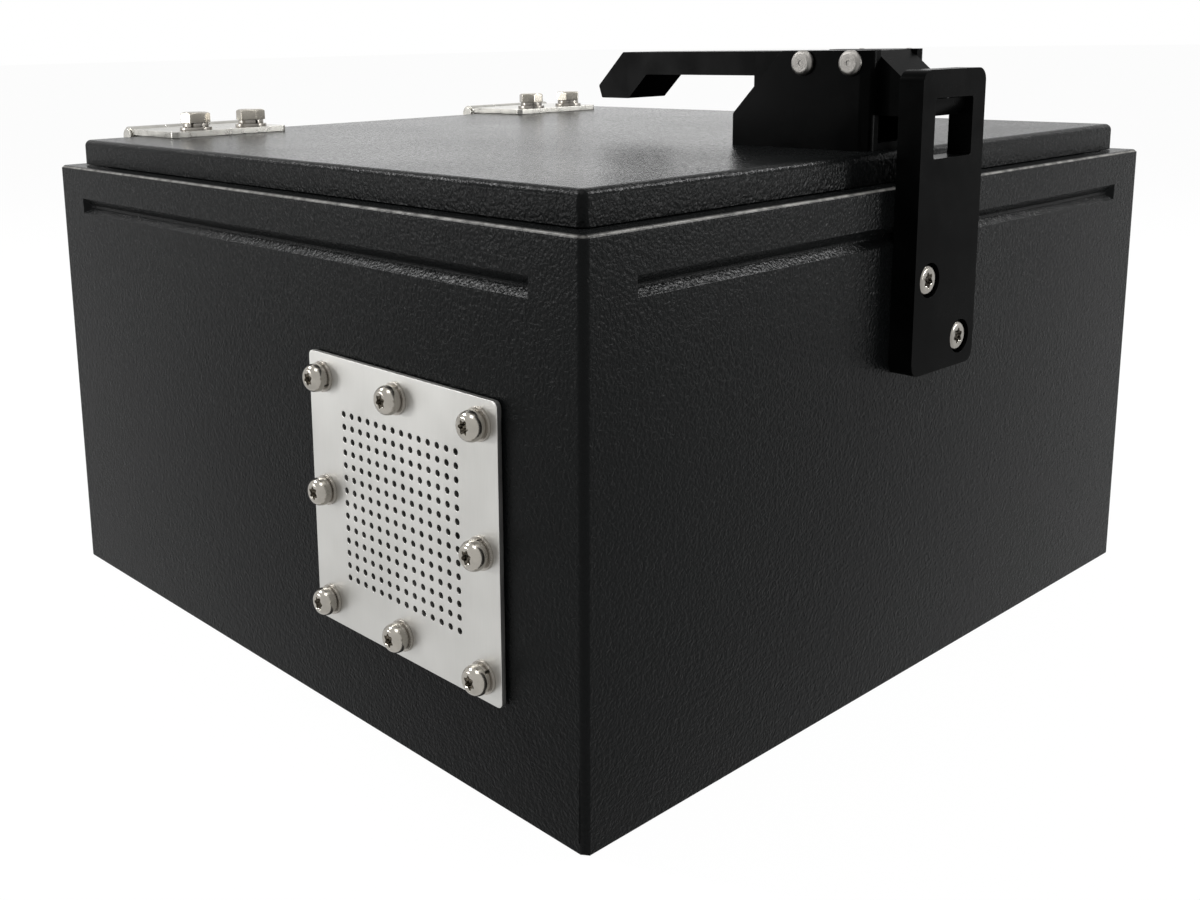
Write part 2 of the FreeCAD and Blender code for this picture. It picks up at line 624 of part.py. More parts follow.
def make_hinge(side, middle):
    half = "hinge_width / 2"
    inner = "knuckle / 2"
    outer = "(knuckle / 2 + knuckle_gap)"
    near = f"({HINGE_Y} - barrel / 2 - hinge_gap)"
    edge = f"({HINGE_Y} - hinge_reach)"
    lid_plate = leaf_plate(f"LidLeafPlate_{side}", "XY", LID_TOP, middle, f"({near} + {edge}) / 2",
                           f"{near} - {edge}", (1, edge))
    neck = block(f"LidNeck_{side}", (f"{middle} - {inner}", f"{middle} + {inner}"),
                 (f"{near} - overcut", HINGE_Y), (LID_TOP, f"{LID_TOP} + hinge_leaf"))
    turning = [(f"{middle} - {inner}", f"{middle} + {inner}", neck)]
    spots = [(f"{middle} + {way} * bolt_spacing / 2", LID_BOLT_Y, f"{LID_TOP} - hinge_leaf")
             for way in (-1, 1)]
    leaf = make_leaf(f"LidLeaf_{side}", lid_plate, turning, spots, "+Z", "knuckle + 2 * overcut")
    keep(leaf, f"hinge_lid_leaf_{side}")

    top = f"({HINGE_Z} - barrel / 2 - hinge_gap)"
    foot = f"({HINGE_Z} - hinge_fall)"
    box_plate = leaf_plate(f"BoxLeafPlate_{side}", "XZ", f"0 - {BACK} - hinge_leaf", middle,
                           f"({top} + {foot}) / 2", f"{top} - {foot}", (2, foot))
    fixed = []
    for start, end in ((f"{middle} - {half}", f"{middle} - {outer}"),
                       (f"{middle} + {outer}", f"{middle} + {half}")):
        arm = block(f"BoxNeck_{side}", (start, end), (BACK, f"{BACK} + hinge_leaf"),
                    (f"{top} - overcut", HINGE_Z))
        fixed.append((start, end, arm))
    spots = [(f"{middle} + {way} * bolt_spacing / 2", f"{BACK} - hinge_leaf", BOX_BOLT_Z)
             for way in (-1, 1)]
    leaf = make_leaf(f"BoxLeaf_{side}", box_plate, fixed, spots, "+Y", "hinge_width + 2 * overcut")
    keep(leaf, f"hinge_box_leaf_{side}")

    shaft = rod(f"HingeShaft_{side}", "hinge_pin", "hinge_width", (f"{middle} - {half}", HINGE_Y, HINGE_Z),
                "+X")
    heads = [rod(f"HingeHead_{side}", "pin_head", "pin_head_rise", (x, HINGE_Y, HINGE_Z), "+X")
             for x in (f"{middle} - {half} - pin_head_rise", f"{middle} + {half}")]
    keep(joined(f"HingePin_{side}", shaft, *heads), f"hinge_pin_{side}")


def make_bolts():
    stack = "(bolt_washer_thick + bolt_spring_thick)"
    lid_seat, box_seat = f"({LID_TOP} + hinge_leaf)", f"({BACK} + hinge_leaf)"
    tail = f"({stack} + hinge_leaf + bolt_washer_thick + nut_rise + thread_end)"
    lid_bolt = make_bolt("LidBolt", f"{tail} + lid_wall")
    box_bolt = make_bolt("BoxBolt", f"{tail} + wall")
    washer = make_ring("BoltWasher", "bolt_washer", "bolt_clearance", "bolt_washer_thick")
    spring = make_ring("BoltSpring", "bolt_flats", "bolt_clearance", "bolt_spring_thick", split=True)
    nut = make_hex("BoltNut", "bolt_flats", "nut_rise", "bolt + 2 * play")

    def on_lid(level, facing):
        return [(x, LID_BOLT_Y, level, facing) for x in BOLT_LINES]

    def on_back(level, facing):
        return [(x, level, BOX_BOLT_Z, facing) for x in BOLT_LINES]

    inside = f"({BACK} - wall)"
    copies("lid_hinge_bolts", lid_bolt, on_lid(f"{lid_seat} + {stack}", "+Z"))
    copies("lid_hinge_spring_washers", spring, on_lid(f"{lid_seat} + bolt_washer_thick", "+Z"))
    copies("lid_hinge_washers", washer, on_lid(lid_seat, "+Z") + on_lid(LID_UNDER, "-Z"))
    copies("lid_hinge_nuts", nut, on_lid(f"{LID_UNDER} - bolt_washer_thick", "-Z"))
    copies("box_hinge_bolts", box_bolt, on_back(f"{box_seat} + {stack}", "+Y"))
    copies("box_hinge_spring_washers", spring, on_back(f"{box_seat} + bolt_washer_thick", "+Y"))
    copies("box_hinge_washers", washer, on_back(box_seat, "+Y") + on_back(inside, "-Y"))
    copies("box_hinge_nuts", nut, on_back(f"{inside} - bolt_washer_thick", "-Y"))
    pad_face = f"({FRONT} + wall + pad_thick)"
    copies("strike_washers", washer, [(x, pad_face, z, "+Y") for x, z in STRIKE_PLACES])
    copies("strike_nuts", nut, [(x, f"{pad_face} + bolt_washer_thick", z, "+Y") for x, z in STRIKE_PLACES])


# The lid: a shallow folded pan with a rubber seal that closes on the box's upstand.
def make_lid():
    body = new_body("LidPan")
    bottom = "(height + lid_gap)"
    plan = new_sketch(body, "XY", bottom)
    rectangle(plan, "0", "0", "width - 2 * lid_inset", "depth - 2 * lid_inset")
    pad(body, plan, "lid_height")
    soften(body, "corner_radius", lambda edge: runs_along(edge, 2))
    soften(body, "lid_radius", lambda edge: level_with(edge, 2, LID_TOP))
    inside = new_sketch(body, "XY", bottom)
    rim = "2 * (lid_inset + lid_wall)"
    rectangle(inside, "0", "0", f"width - {rim}", f"depth - {rim}")
    pocket(body, inside, "lid_height - lid_wall", backwards=True)
    bolt_places = [(x, LID_BOLT_Y) for x in BOLT_LINES]
    holes(body, "XY", LID_TOP, bolt_places, "bolt_clearance", "lid_wall * 1.5", False)
    holes(body, "XY", LID_TOP, LATCH_SCREWS, "latch_screw_clear", "lid_wall * 1.5", False)
    keep(body, "lid_pan")

    lip_top = "(height + lip_rise)"
    seal = new_body("LidSeal")
    ring = new_sketch(seal, "XY", lip_top)
    for side in (-1, 1):
        wide = f"- 2 * rim_width + lip_wall + {side} * seal_width"
        rectangle(ring, "0", "0", f"width {wide}", f"depth {wide}")
    pad(seal, ring, f"{LID_UNDER} - {lip_top}")
    keep(seal, "lid_seal")


# The latch: a lever on a pin between two cheeks. A second pin in an arc slot stops its travel.
def make_latch_housing():
    body = new_body("LatchHousing")
    front = "(latch_setback - depth / 2)"
    back = f"({front} + latch_length)"
    top = f"({LID_TOP} + latch_height)"
    side = new_sketch(body, "YZ")
    outline(side, [(front, LID_TOP), (back, LID_TOP), (back, f"{LID_TOP} + latch_heel"),
                   (f"{back} - latch_slope", top), (front, top)])
    pad(body, side, "latch_width", both=True)
    soften(body, "latch_radius", lambda edge: runs_along(edge, 2) and level_with(edge, 1, front))
    soften(body, "latch_heel_radius", lambda edge: runs_along(edge, 2) and level_with(edge, 1, back))
    slot = new_sketch(body, "XY", f"{LID_TOP} + latch_base")
    rectangle(slot, "0", f"({front} + {back}) / 2", "lever_width + 2 * lever_play",
              "latch_length + 2 * overcut")
    pocket(body, slot, "latch_height", backwards=True)
    for y in (PIVOT_Y, STOP_Y):
        bore = new_sketch(body, "YZ")
        circle(bore, y, PIN_Z, "latch_pin + 2 * seat_play")
        pocket(body, bore, "latch_width + 2 * overcut", both=True)
    holes(body, "XY", LID_TOP, LATCH_SCREWS, "latch_screw + 2 * play", "latch_screw_bite + overcut", True)
    keep(body, "latch_housing")


def make_latch_pins():
    half = "latch_width / 2"
    for label, y in (("latch_pivot_pin", PIVOT_Y), ("latch_stop_pin", STOP_Y)):
        body = new_body(label)
        for start, length in ((f"0 - {half}", "0 - latch_head_rise"), (half, "latch_head_rise")):
            disc = new_sketch(body, "YZ", start)
            circle(disc, y, PIN_Z, "latch_pin_head")
            pad(body, disc, "latch_head_rise", backwards=start != half)
            outer = f"{start} + ({length})"
            soften(body, "latch_head_round", lambda edge: level_with(edge, 0, outer))
            if start != half:
                stem = new_sketch(body, "YZ", start)
                circle(stem, y, PIN_Z, "latch_pin")
                pad(body, stem, "latch_width")
        keep(body, label)


def make_latch_mount():
    under = f"({LID_UNDER} - plate_thick)"
    reach = f"({CHEEK_MIDDLE} + latch_screw_head / 2 + plate_edge)"
    first = "(latch_screw_first - plate_margin - depth / 2)"
    last = "(latch_screw_first + latch_screw_step + plate_margin - depth / 2)"
    plate = block("LatchPlate", (f"0 - {reach}", reach), (first, last), (under, LID_UNDER))
    bores = [rod("LatchPlateBore", "latch_screw_clear", "plate_thick * 3", (x, y, f"{under} - plate_thick"))
             for x, y in LATCH_SCREWS]
    keep(less("LatchPlateDrilled", plate, *bores), "latch_backing_plate")
    grip = "(plate_thick + lid_wall + latch_screw_bite)"
    screw = make_screw("LatchScrew", "latch_screw", grip, "latch_screw_head", "latch_screw_rise",
                       "latch_screw_dome", "latch_socket")
    copies("latch_screws", screw, [(x, y, under, "-Z") for x, y in LATCH_SCREWS])


def make_lever():
    """The lever seen from the side, from the grip forward along the top to the tongue and back."""
    body = new_body("LeverBody")
    side = new_sketch(body, "YZ")
    tail = "(lever_length - depth / 2)"
    nose = f"({FRONT} + nose_gap)"
    tip = "(0 - depth / 2 - tongue_reach)"
    root = "(root_reach - depth / 2)"
    arm_sole = f"({LEVER_TOP} - lever_thick)"
    foot = f"({tail} - grip_lean)"
    outline(side, [
        (tail, LEVER_TOP),
        ("(nose_reach - depth / 2)", LEVER_TOP),
        (nose, f"{LEVER_TOP} - nose_drop"),
        (nose, TONGUE_TOP),
        (tip, TONGUE_TOP),
        (tip, f"{TONGUE_TOP} - tongue_chamfer"),
        (f"{tip} + tongue_chamfer", TONGUE_SOLE),
        (root, TONGUE_SOLE),
        (root, arm_sole),
        (f"{tail} - grip_throat", arm_sole),
        (foot, f"{LEVER_TOP} - grip_depth"),
        (f"{foot} + grip_foot", f"{LEVER_TOP} - grip_depth"),
        (f"{tail} + grip_run", f"{LEVER_TOP} - grip_drop"),
    ])
    pad(body, side, "lever_width", both=True)
    soften(body, "lever_edge",
           lambda edge: runs_along(edge, 0) and edge.CenterOfGravity.y > spot(root) + SAME)
    bore = new_sketch(body, "YZ")
    circle(bore, PIVOT_Y, PIN_Z, "latch_pin + 2 * play")
    pocket(body, bore, "lever_width + 2 * overcut", both=True)

    # The stop slot follows the lever's travel about the pivot, so the pin meets an end at each limit.
    wide = "(latch_pin + 2 * slot_play)"
    start = "0 - lever_width"
    long = "lever_width * 2"
    centre = (start, PIVOT_Y, PIN_Z)
    sweep = rod("SlotSweep", f"2 * stop_reach + {wide}", long, centre, "+X")
    bind(sweep, Angle="lever_swing")
    core = rod("SlotCore", f"2 * stop_reach - {wide}", f"{long} + 2 * overcut",
               (f"{start} - overcut", PIVOT_Y, PIN_Z), "+X")
    band = less("SlotBand", sweep, core)
    upper = rod("SlotUpper", wide, long, (start, STOP_Y, PIN_Z), "+X")
    lower = rod("SlotLower", wide, long, (start, f"{PIVOT_Y} + stop_reach * cos(lever_swing)",
                                          f"{PIN_Z} - stop_reach * sin(lever_swing)"), "+X")
    turn_band = FreeCAD.Rotation(FreeCAD.Vector(1, 0, 0), 90 - spot("lever_swing"))
    sweep.Placement.Rotation = turn_band.multiply(TURN_TO["+X"])
    keep(less("Lever", body, band, upper, lower), "latch_lever")


make_box_shell()
make_vent()
make_vent_fasteners()
make_strike()
for side_name, side_middle in SIDES.items():
    make_hinge(side_name, side_middle)
make_bolts()
make_lid()
make_latch_housing()
make_latch_pins()
make_latch_mount()
make_lever()
doc.recompute()

for thing in doc.Objects:
    if {"Invalid", "Error"} & set(thing.State):
        raise ValueError(f"{thing.Name} did not build: {thing.State}")
os.makedirs("parts", exist_ok=True)
for piece in pieces:
    if piece.Shape.isNull() or not piece.Shape.isValid() or not piece.Shape.Solids:
        raise ValueError(f"{piece.Label} has no valid solid")
    piece.Shape.exportStep(f"parts/{piece.Label}.step")
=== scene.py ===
"""The battery box: black powder-coated sheet steel, a hinged lid with a lever latch, and a
perforated stainless vent. Sizes are in metres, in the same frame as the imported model."""
import bmesh
import bpy
from math import atan2, cos, pi, radians, tan
from mathutils import Matrix, Vector


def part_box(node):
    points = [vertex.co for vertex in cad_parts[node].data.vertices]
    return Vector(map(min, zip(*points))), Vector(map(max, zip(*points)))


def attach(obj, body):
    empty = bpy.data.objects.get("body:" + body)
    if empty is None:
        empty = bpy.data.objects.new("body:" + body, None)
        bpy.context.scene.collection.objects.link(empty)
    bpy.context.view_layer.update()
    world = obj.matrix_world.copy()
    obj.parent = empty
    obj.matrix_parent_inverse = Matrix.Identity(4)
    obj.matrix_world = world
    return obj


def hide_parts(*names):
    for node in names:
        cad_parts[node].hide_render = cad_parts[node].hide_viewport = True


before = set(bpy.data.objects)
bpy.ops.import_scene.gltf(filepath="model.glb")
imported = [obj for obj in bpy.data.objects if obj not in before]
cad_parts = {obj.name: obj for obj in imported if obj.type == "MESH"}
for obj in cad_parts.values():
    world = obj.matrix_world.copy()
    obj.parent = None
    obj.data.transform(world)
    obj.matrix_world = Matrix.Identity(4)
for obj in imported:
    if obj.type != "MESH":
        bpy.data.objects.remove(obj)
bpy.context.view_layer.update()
MM = 0.001


# ---- The box ----------------------------------------------------------------------------------
# A folded and welded steel box, 2 mm sheet, with a groove pressed into each wall to stiffen it.
# A flange is folded in around the mouth and ends in an upstand that the lid's seal closes on.
# All of it wears a black powder coat with a fine wrinkle.
WALL = 2 * MM
LIP_RISE = 6 * MM
LIP_INSET = 18.5 * MM
BOX_CORNER, BOX_FOOT, RIM_BEND, LIP_BEND = 3 * MM, 1.5 * MM, 1.8 * MM, 0.8 * MM
BEAD_DROP, BEAD_MARGIN, BEAD_HEIGHT, BEAD_DEPTH = 18.5 * MM, 24 * MM, 7.4 * MM, 3 * MM
BEAD_SLOPE, BEAD_SHOULDER, BEAD_ROOT, BEAD_END = 3.2 * MM, 1.5 * MM, 0.4 * MM, 1.6 * MM
BEAD_LIFT = -0.3 * MM
# Height and reach of the painted highlight line along the rim bend.
RIM_HIGHLIGHT_DROP, RIM_HIGHLIGHT_REACH = 0.6 * MM, 0.55 * MM
VENT_MOUTH = 72 * MM


class Level:
    """A number that varies over a surface. Sums written on it become Math nodes."""

    def __init__(self, finish, socket):
        self.finish, self.socket = finish, socket

    def sum(self, operation, first, second):
        return self.finish.node("ShaderNodeMath", {"operation": operation}, {0: first, 1: second})

    def __add__(self, other):
        return self.sum("ADD", self, other)

    def __mul__(self, other):
        return self.sum("MULTIPLY", self, other)

    def __sub__(self, other):
        return self.sum("SUBTRACT", self, other)

    def __rsub__(self, other):
        return self.sum("SUBTRACT", other, self)

    __radd__, __rmul__ = __add__, __mul__


class Finish:
    """A material for this object. Its patterns are measured in metres in the object's own frame."""

    def __init__(self, name, **constants):
        self.material = bpy.data.materials.new(name)
        self.material.use_nodes = True
        self.tree = self.material.node_tree
        self.surface = self.tree.nodes["Principled BSDF"]
        for socket, value in constants.items():
            self.surface.inputs[socket.replace("_", " ")].default_value = value
        self.place = self.node("ShaderNodeTexCoord", output="Object")

    def node(self, kind, settings=None, sockets=None, output=0):
        made = self.tree.nodes.new(kind)
        for name, value in (settings or {}).items():
            if name == "stops":
                ramp = made.color_ramp.elements
                while len(ramp) < len(value):
                    ramp.new(0.5)
                for stop, (where, colour) in zip(ramp, value):
                    stop.position, stop.color = where, (*colour, 1)
            else:
                setattr(made, name, value)
        for name, value in (sockets or {}).items():
            if isinstance(value, Level):
                self.tree.links.new(value.socket, made.inputs[name])
            else:
                made.inputs[name].default_value = value
        return Level(self, made.outputs[output])

    def noise(self, scale, detail=2, roughness=0.5, distortion=0, along=None):
        return self.node("ShaderNodeTexNoise", {}, {
            "Vector": along or self.place, "Scale": scale, "Detail": detail,
            "Roughness": roughness, "Distortion": distortion})

    def stretched(self, x, y, z):
        """The place, squeezed so that a pattern on it is drawn out along the axis with the low number."""
        return self.node("ShaderNodeMapping", {}, {"Vector": self.place, "Scale": (x, y, z)})

    def spread(self, level, low, high, dark, light):
        """Moves a level between low and high on to dark and light."""
        return self.node("ShaderNodeMapRange", {}, {
            "Value": level, "From Min": low, "From Max": high, "To Min": dark, "To Max": light})

    def colours(self, level, *stops):
        return self.node("ShaderNodeValToRGB", {"stops": stops}, {"Fac": level})

    def blend(self, share, under, over):
        """The colour under, giving way to a plain colour as share goes to 1."""
        mix = self.tree.nodes.new("ShaderNodeMix")
        mix.data_type = "RGBA"
        self.tree.links.new(share.socket, mix.inputs[0])
        self.tree.links.new(under.socket, mix.inputs[6])
        mix.inputs[7].default_value = (*over, 1)
        return Level(self, mix.outputs[2])

    def bump(self, height, distance, under=None):
        links = {"Height": height, "Distance": distance}
        if under:
            links["Normal"] = under
        return self.node("ShaderNodeBump", {}, links)

    def wear(self, **inputs):
        """Links what varies to the surface."""
        for socket, value in inputs.items():
            self.tree.links.new(value.socket, self.surface.inputs[socket.replace("_", " ")])
        return self.material


def make_powder_coat():
    coat = Finish("black_powder_coat", IOR=1.13)
    wrinkle = coat.noise(560, 2.5, 0.6, 0.9)
    pits = coat.node("ShaderNodeTexVoronoi", {"feature": "SMOOTH_F1"},
                     {"Vector": coat.place, "Scale": 760, "Smoothness": 0.6})
    drift = coat.noise(9, 3)
    texture = wrinkle * 0.7 + pits * 0.3
    # Along the bend at the box's rim, the coat's colour is lightened to a thin broken line. This is a painted
    # highlight that stands in for the lamps' reflection in the bend. The wrinkle is smoothed there too.
    height = coat.node("ShaderNodeSeparateXYZ", {}, {"Vector": coat.place}, 2)
    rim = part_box("box_shell")[1].z - LIP_RISE - RIM_HIGHLIGHT_DROP
    off_rim = coat.node("ShaderNodeMath", {"operation": "ABSOLUTE"}, {0: height - rim})
    on_rim = coat.spread(off_rim, 0, RIM_HIGHLIGHT_REACH, 1, 0)
    painted_rim_highlight = on_rim * coat.spread(coat.noise(190, 3), 0.36, 0.6, 0.3, 1)
    black = coat.colours(drift * 0.6 + wrinkle * 0.4,
                         (0.3, (0.0034, 0.0038, 0.0039)), (0.7, (0.006, 0.0065, 0.0066)))
    return coat.wear(
        # The painted highlight line at the rim is blended into the black here.
        Base_Color=coat.blend(painted_rim_highlight, black, (0.3, 0.292, 0.275)),
        Roughness=coat.spread(drift * 0.5 + pits * 0.5, 0.2, 0.7, 0.17, 0.28),
        Normal=coat.bump(texture * (1 - on_rim * 0.8), 0.38 * MM))


def edit(obj):
    """Makes obj the only selected thing and goes into edit mode."""
    if bpy.context.object and bpy.context.object.mode == "EDIT":
        bpy.ops.object.mode_set(mode="OBJECT")
    bpy.ops.object.select_all(action="DESELECT")
    obj.select_set(True)
    bpy.context.view_layer.objects.active = obj
    bpy.ops.object.mode_set(mode="EDIT")


def pick(kind, chosen):
    """In edit mode, selects each corner, edge or face that chosen says yes to."""
    bpy.ops.mesh.select_mode(type=kind)
    bpy.ops.mesh.select_all(action="DESELECT")
    work = bmesh.from_edit_mesh(bpy.context.object.data)
    for part in {"VERT": work.verts, "EDGE": work.edges, "FACE": work.faces}[kind]:
        if chosen(part):
            part.select_set(True)
    bmesh.update_edit_mesh(bpy.context.object.data)


def middle(part):
    """The middle of an edge or a face."""
    return sum((corner.co for corner in part.verts), Vector()) / len(part.verts)


def move_corners(move, chosen=lambda corner: corner.select):
    """In edit mode, puts each chosen corner where move says. Move is given the corner's place."""
    work = bmesh.from_edit_mesh(bpy.context.object.data)
    for corner in work.verts:
        if chosen(corner):
            corner.co = move(corner.co)
    bmesh.update_edit_mesh(bpy.context.object.data)


def near(one, other):
    return abs(one - other) < 0.01 * MM


def sign(number):
    return 1 if number > 0 else -1


def level_edge(z):
    """Chooses the edges that lie at a height."""
    return lambda edge: all(near(corner.co.z, z) for corner in edge.verts)


def upright(edge):
    first, second = (corner.co for corner in edge.verts)
    return (first - second).xy.length < 0.01 * MM


def bevel(width, segments, shape=0.5):
    bpy.ops.mesh.bevel(offset=width, segments=segments, profile=shape, affect="EDGES", clamp_overlap=True)


def new_block(name, low, high):
    """A block from its lowest to its highest corner, ready to be shaped in edit mode."""
    bpy.ops.object.select_all(action="DESELECT")
    bpy.ops.mesh.primitive_cube_add(size=1, location=(Vector(low) + Vector(high)) / 2)
    block = bpy.context.object
    block.name = name
    block.scale = Vector(high) - Vector(low)
    bpy.ops.object.transform_apply(location=True, rotation=True, scale=True)
    edit(block)
    return block


def modify(obj, kind, **settings):
    """Adds a modifier to obj and applies it."""
    if obj.mode == "EDIT":
        bpy.ops.object.mode_set(mode="OBJECT")
    modifier = obj.modifiers.new(kind.title(), kind)
    for name, value in settings.items():
        setattr(modifier, name, value)
    bpy.ops.object.modifier_apply(modifier=modifier.name)


def dress(obj, material, body, slot, *nodes):
    """Smooths a finished piece, gives it its material, and ties it to its body and the nodes it stands for."""
    if obj.mode == "EDIT":
        bpy.ops.object.mode_set(mode="OBJECT")
    bpy.ops.object.select_all(action="DESELECT")
    obj.select_set(True)
    bpy.context.view_layer.objects.active = obj
    bpy.ops.object.shade_smooth_by_angle(angle=radians(32))
    modify(obj, "WEIGHTED_NORMAL", keep_sharp=True, weight=80)
    obj.data.materials.clear()
    obj.data.materials.append(material)
    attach(obj, body)
    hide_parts(*nodes)


def make_box_body():
    low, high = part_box("box_shell")
    rim = high.z - LIP_RISE
    body = new_block("box_body", low, (high.x, high.y, rim))
    pick("FACE", lambda face: face.normal.z > 0.9)
    bpy.ops.mesh.inset(thickness=LIP_INSET)
    bpy.ops.mesh.extrude_region_move(TRANSFORM_OT_translate={"value": (0, 0, LIP_RISE)})
    bpy.ops.mesh.delete(type="FACE")

    # The wall is parted under the grooves, so that each groove and the vent's mouth has a panel.
    groove = rim - BEAD_DROP
    pick("FACE", lambda face: abs(face.normal.z) < 0.1 and middle(face).z < rim)
    bpy.ops.mesh.bisect(plane_co=(0, 0, groove - BEAD_DROP), plane_no=(0, 0, 1))
    pick("FACE", lambda face: abs(face.normal.z) < 0.1 and groove - BEAD_DROP < middle(face).z < rim)
    bpy.ops.mesh.inset(thickness=BEAD_HEIGHT / 2, use_individual=True)
    work = bmesh.from_edit_mesh(body.data)
    reach = {0: high.x - BEAD_MARGIN, 1: high.y - BEAD_MARGIN}
    for face in [face for face in work.faces if face.select]:
        along = 1 if abs(face.normal.x) > 0.5 else 0
        for corner in face.verts:
            corner.co[along] = reach[along] if corner.co[along] > 0 else -reach[along]
            corner.co.z = groove + BEAD_HEIGHT / 2 * (1 if corner.co.z > groove else -1)
    bmesh.update_edit_mesh(body.data)
    bpy.ops.mesh.inset(thickness=BEAD_SLOPE, depth=-BEAD_DEPTH, use_individual=True)
    bpy.ops.transform.translate(value=(0, 0, BEAD_LIFT))
    work = bmesh.from_edit_mesh(body.data)
    slopes = {edge.index for face in work.faces if face.select for corner in face.verts
              for edge in corner.link_edges if edge not in face.edges[:]}
    pick("EDGE", lambda edge: edge.index in slopes)
    bevel(BEAD_END, 4)

    def is_groove(face):
        return abs(middle(face).z - groove) < BEAD_HEIGHT / 2

    def brow(edge):
        """The line where a wall turns into its groove."""
        a, b = (corner.co for corner in edge.verts)
        flat = all(near(abs(c.x), high.x) for c in (a, b)) or all(near(abs(c.y), high.y) for c in (a, b))
        return flat and all(abs(c.z - groove) < BEAD_HEIGHT / 2 + 0.01 * MM for c in (a, b))

    def root(edge):
        """The line where a groove turns into its flat floor."""
        def sunk(c):
            return near(abs(c.x), high.x - BEAD_DEPTH) or near(abs(c.y), high.y - BEAD_DEPTH)
        return all(sunk(corner.co) and is_low(corner.co) for corner in edge.verts)

    def is_low(c):
        return abs(c.z - groove) < BEAD_HEIGHT / 2

    pick("EDGE", root)
    bevel(BEAD_ROOT, 3)
    pick("EDGE", brow)
    bevel(BEAD_SHOULDER, 5)
    vent_low, vent_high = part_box("vent_plate")
    centre = (vent_low + vent_high) / 2
    pick("FACE", lambda face: face.normal.x < -0.9 and middle(face).z < groove - BEAD_DROP)
    bpy.ops.mesh.inset(thickness=VENT_MOUTH / 2)
    half_way = (groove - BEAD_DROP) / 2
    move_corners(lambda at: Vector((
        at.x, centre.y + VENT_MOUTH / 2 * sign(at.y), centre.z + VENT_MOUTH / 2 * sign(at.z - half_way))))
    bpy.ops.mesh.delete(type="FACE")
    pick("EDGE", lambda edge: upright(edge) and near(abs(edge.verts[0].co.x), high.x) and near(
        abs(edge.verts[0].co.y), high.y))
    bevel(BOX_CORNER, 6)
    pick("EDGE", level_edge(low.z))
    bevel(BOX_FOOT, 4)
    pick("EDGE", lambda edge: level_edge(rim)(edge) and not edge.is_boundary and any(
        abs(face.normal.z) < 0.5 and middle(face).z < rim for face in edge.link_faces))
    bevel(RIM_BEND, 4)
    pick("EDGE", lambda edge: level_edge(rim)(edge) and any(middle(face).z > rim + MM for face in edge.link_faces))
    bevel(LIP_BEND, 3)
    bpy.ops.mesh.select_all(action="SELECT")
    bpy.ops.mesh.remove_doubles(threshold=0.001 * MM)
    bpy.ops.mesh.normals_make_consistent(inside=False)
    modify(body, "SOLIDIFY", thickness=WALL, offset=-1, use_even_offset=True)
    dress(body, powder_coat, "box", "black_powder_coat", "box_shell")


powder_coat = make_powder_coat()
make_box_body()

# ---- The strike ---------------------------------------------------------------------------------
# A thick steel plate on the front wall, cut from flat bar, with smooth satin black paint. Its window
# catches the lever's tongue. Two countersunk screws hold it against a plate inside the box.
STRIKE_CORNER, WINDOW_CORNER, STRIKE_EDGE = 5 * MM, 1.2 * MM, 0.5 * MM
WINDOW_WIDE, WINDOW_TALL, CROWN = 27 * MM, 22.6 * MM, 10.6 * MM
STRIKE_SINK_WIDE, STRIKE_SINK_DEEP = 13.6 * MM, 5.5 * MM


def make_satin_black():
    paint = Finish("satin_black_paint", IOR=1.07)
    mottle = paint.noise(70, 3)
    grain = paint.noise(1900, 2)
    return paint.wear(
        Base_Color=paint.colours(mottle, (0.35, (0.0009, 0.001, 0.001)), (0.7, (0.002, 0.0021, 0.0021))),
        Roughness=paint.spread(mottle, 0.3, 0.7, 0.2, 0.3),
        Normal=paint.bump(grain, 0.02 * MM))


def turned(obj, place, facing):
    """Turns a piece made standing on z = 0 to face along an axis, and moves its mesh to its place."""
    turn = Vector(facing).to_track_quat("Z", "Y").to_matrix().to_4x4()
    obj.data.transform(Matrix.Translation(place) @ turn)
    return obj


def new_disc(name, radius, sides, fill="NOTHING"):
    bpy.ops.object.select_all(action="DESELECT")
    bpy.ops.mesh.primitive_circle_add(vertices=sides, radius=radius, fill_type=fill)
    disc = bpy.context.object
    disc.name = name
    edit(disc)
    return disc


def cut(obj, cutter):
    """Takes the cutter's shape out of obj."""
    modify(obj, "BOOLEAN", operation="DIFFERENCE", solver="EXACT", object=cutter)
    bpy.data.objects.remove(cutter)


def drill(obj, place, facing, radius, depth):
    """A round hole, from place inwards."""
    tool = new_disc("drill", radius, 48, "NGON")
    bpy.ops.mesh.select_all(action="SELECT")
    bpy.ops.mesh.extrude_region_move(TRANSFORM_OT_translate={"value": (0, 0, -depth)})
    bpy.ops.mesh.select_all(action="SELECT")
    bpy.ops.transform.translate(value=(0, 0, MM))
    bpy.ops.mesh.normals_make_consistent(inside=False)
    bpy.ops.object.mode_set(mode="OBJECT")
    focus(obj)
    cut(obj, turned(tool, place, facing))


def focus(obj):
    """Makes obj the only selected and active thing."""
    bpy.ops.object.select_all(action="DESELECT")
    obj.select_set(True)
    bpy.context.view_layer.objects.active = obj


def round_edges(obj, width, segments=3):
    focus(obj)
    modify(obj, "BEVEL", width=width, segments=segments, limit_method="ANGLE", angle_limit=radians(35))


def worked_copy(node, name, edge, material, body, slot, segments=3, dimples=()):
    """The node's own shape with its facets joined up and its sharp edges rounded."""
    piece = bpy.data.objects.new(name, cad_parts[node].data.copy())
    bpy.context.scene.collection.objects.link(piece)
    focus(piece)
    bpy.ops.mesh.customdata_custom_splitnormals_clear()
    edit(piece)
    bpy.ops.mesh.select_all(action="SELECT")
    bpy.ops.mesh.remove_doubles(threshold=0.002 * MM)
    bpy.ops.mesh.dissolve_limited(angle_limit=radians(0.5))
    bpy.ops.object.mode_set(mode="OBJECT")
    for place, facing in dimples:
        drill(piece, place, facing, DIMPLE, MM + DIMPLE_DEEP)
    round_edges(piece, edge, segments)
    dress(piece, material, body, slot, node)
    return piece


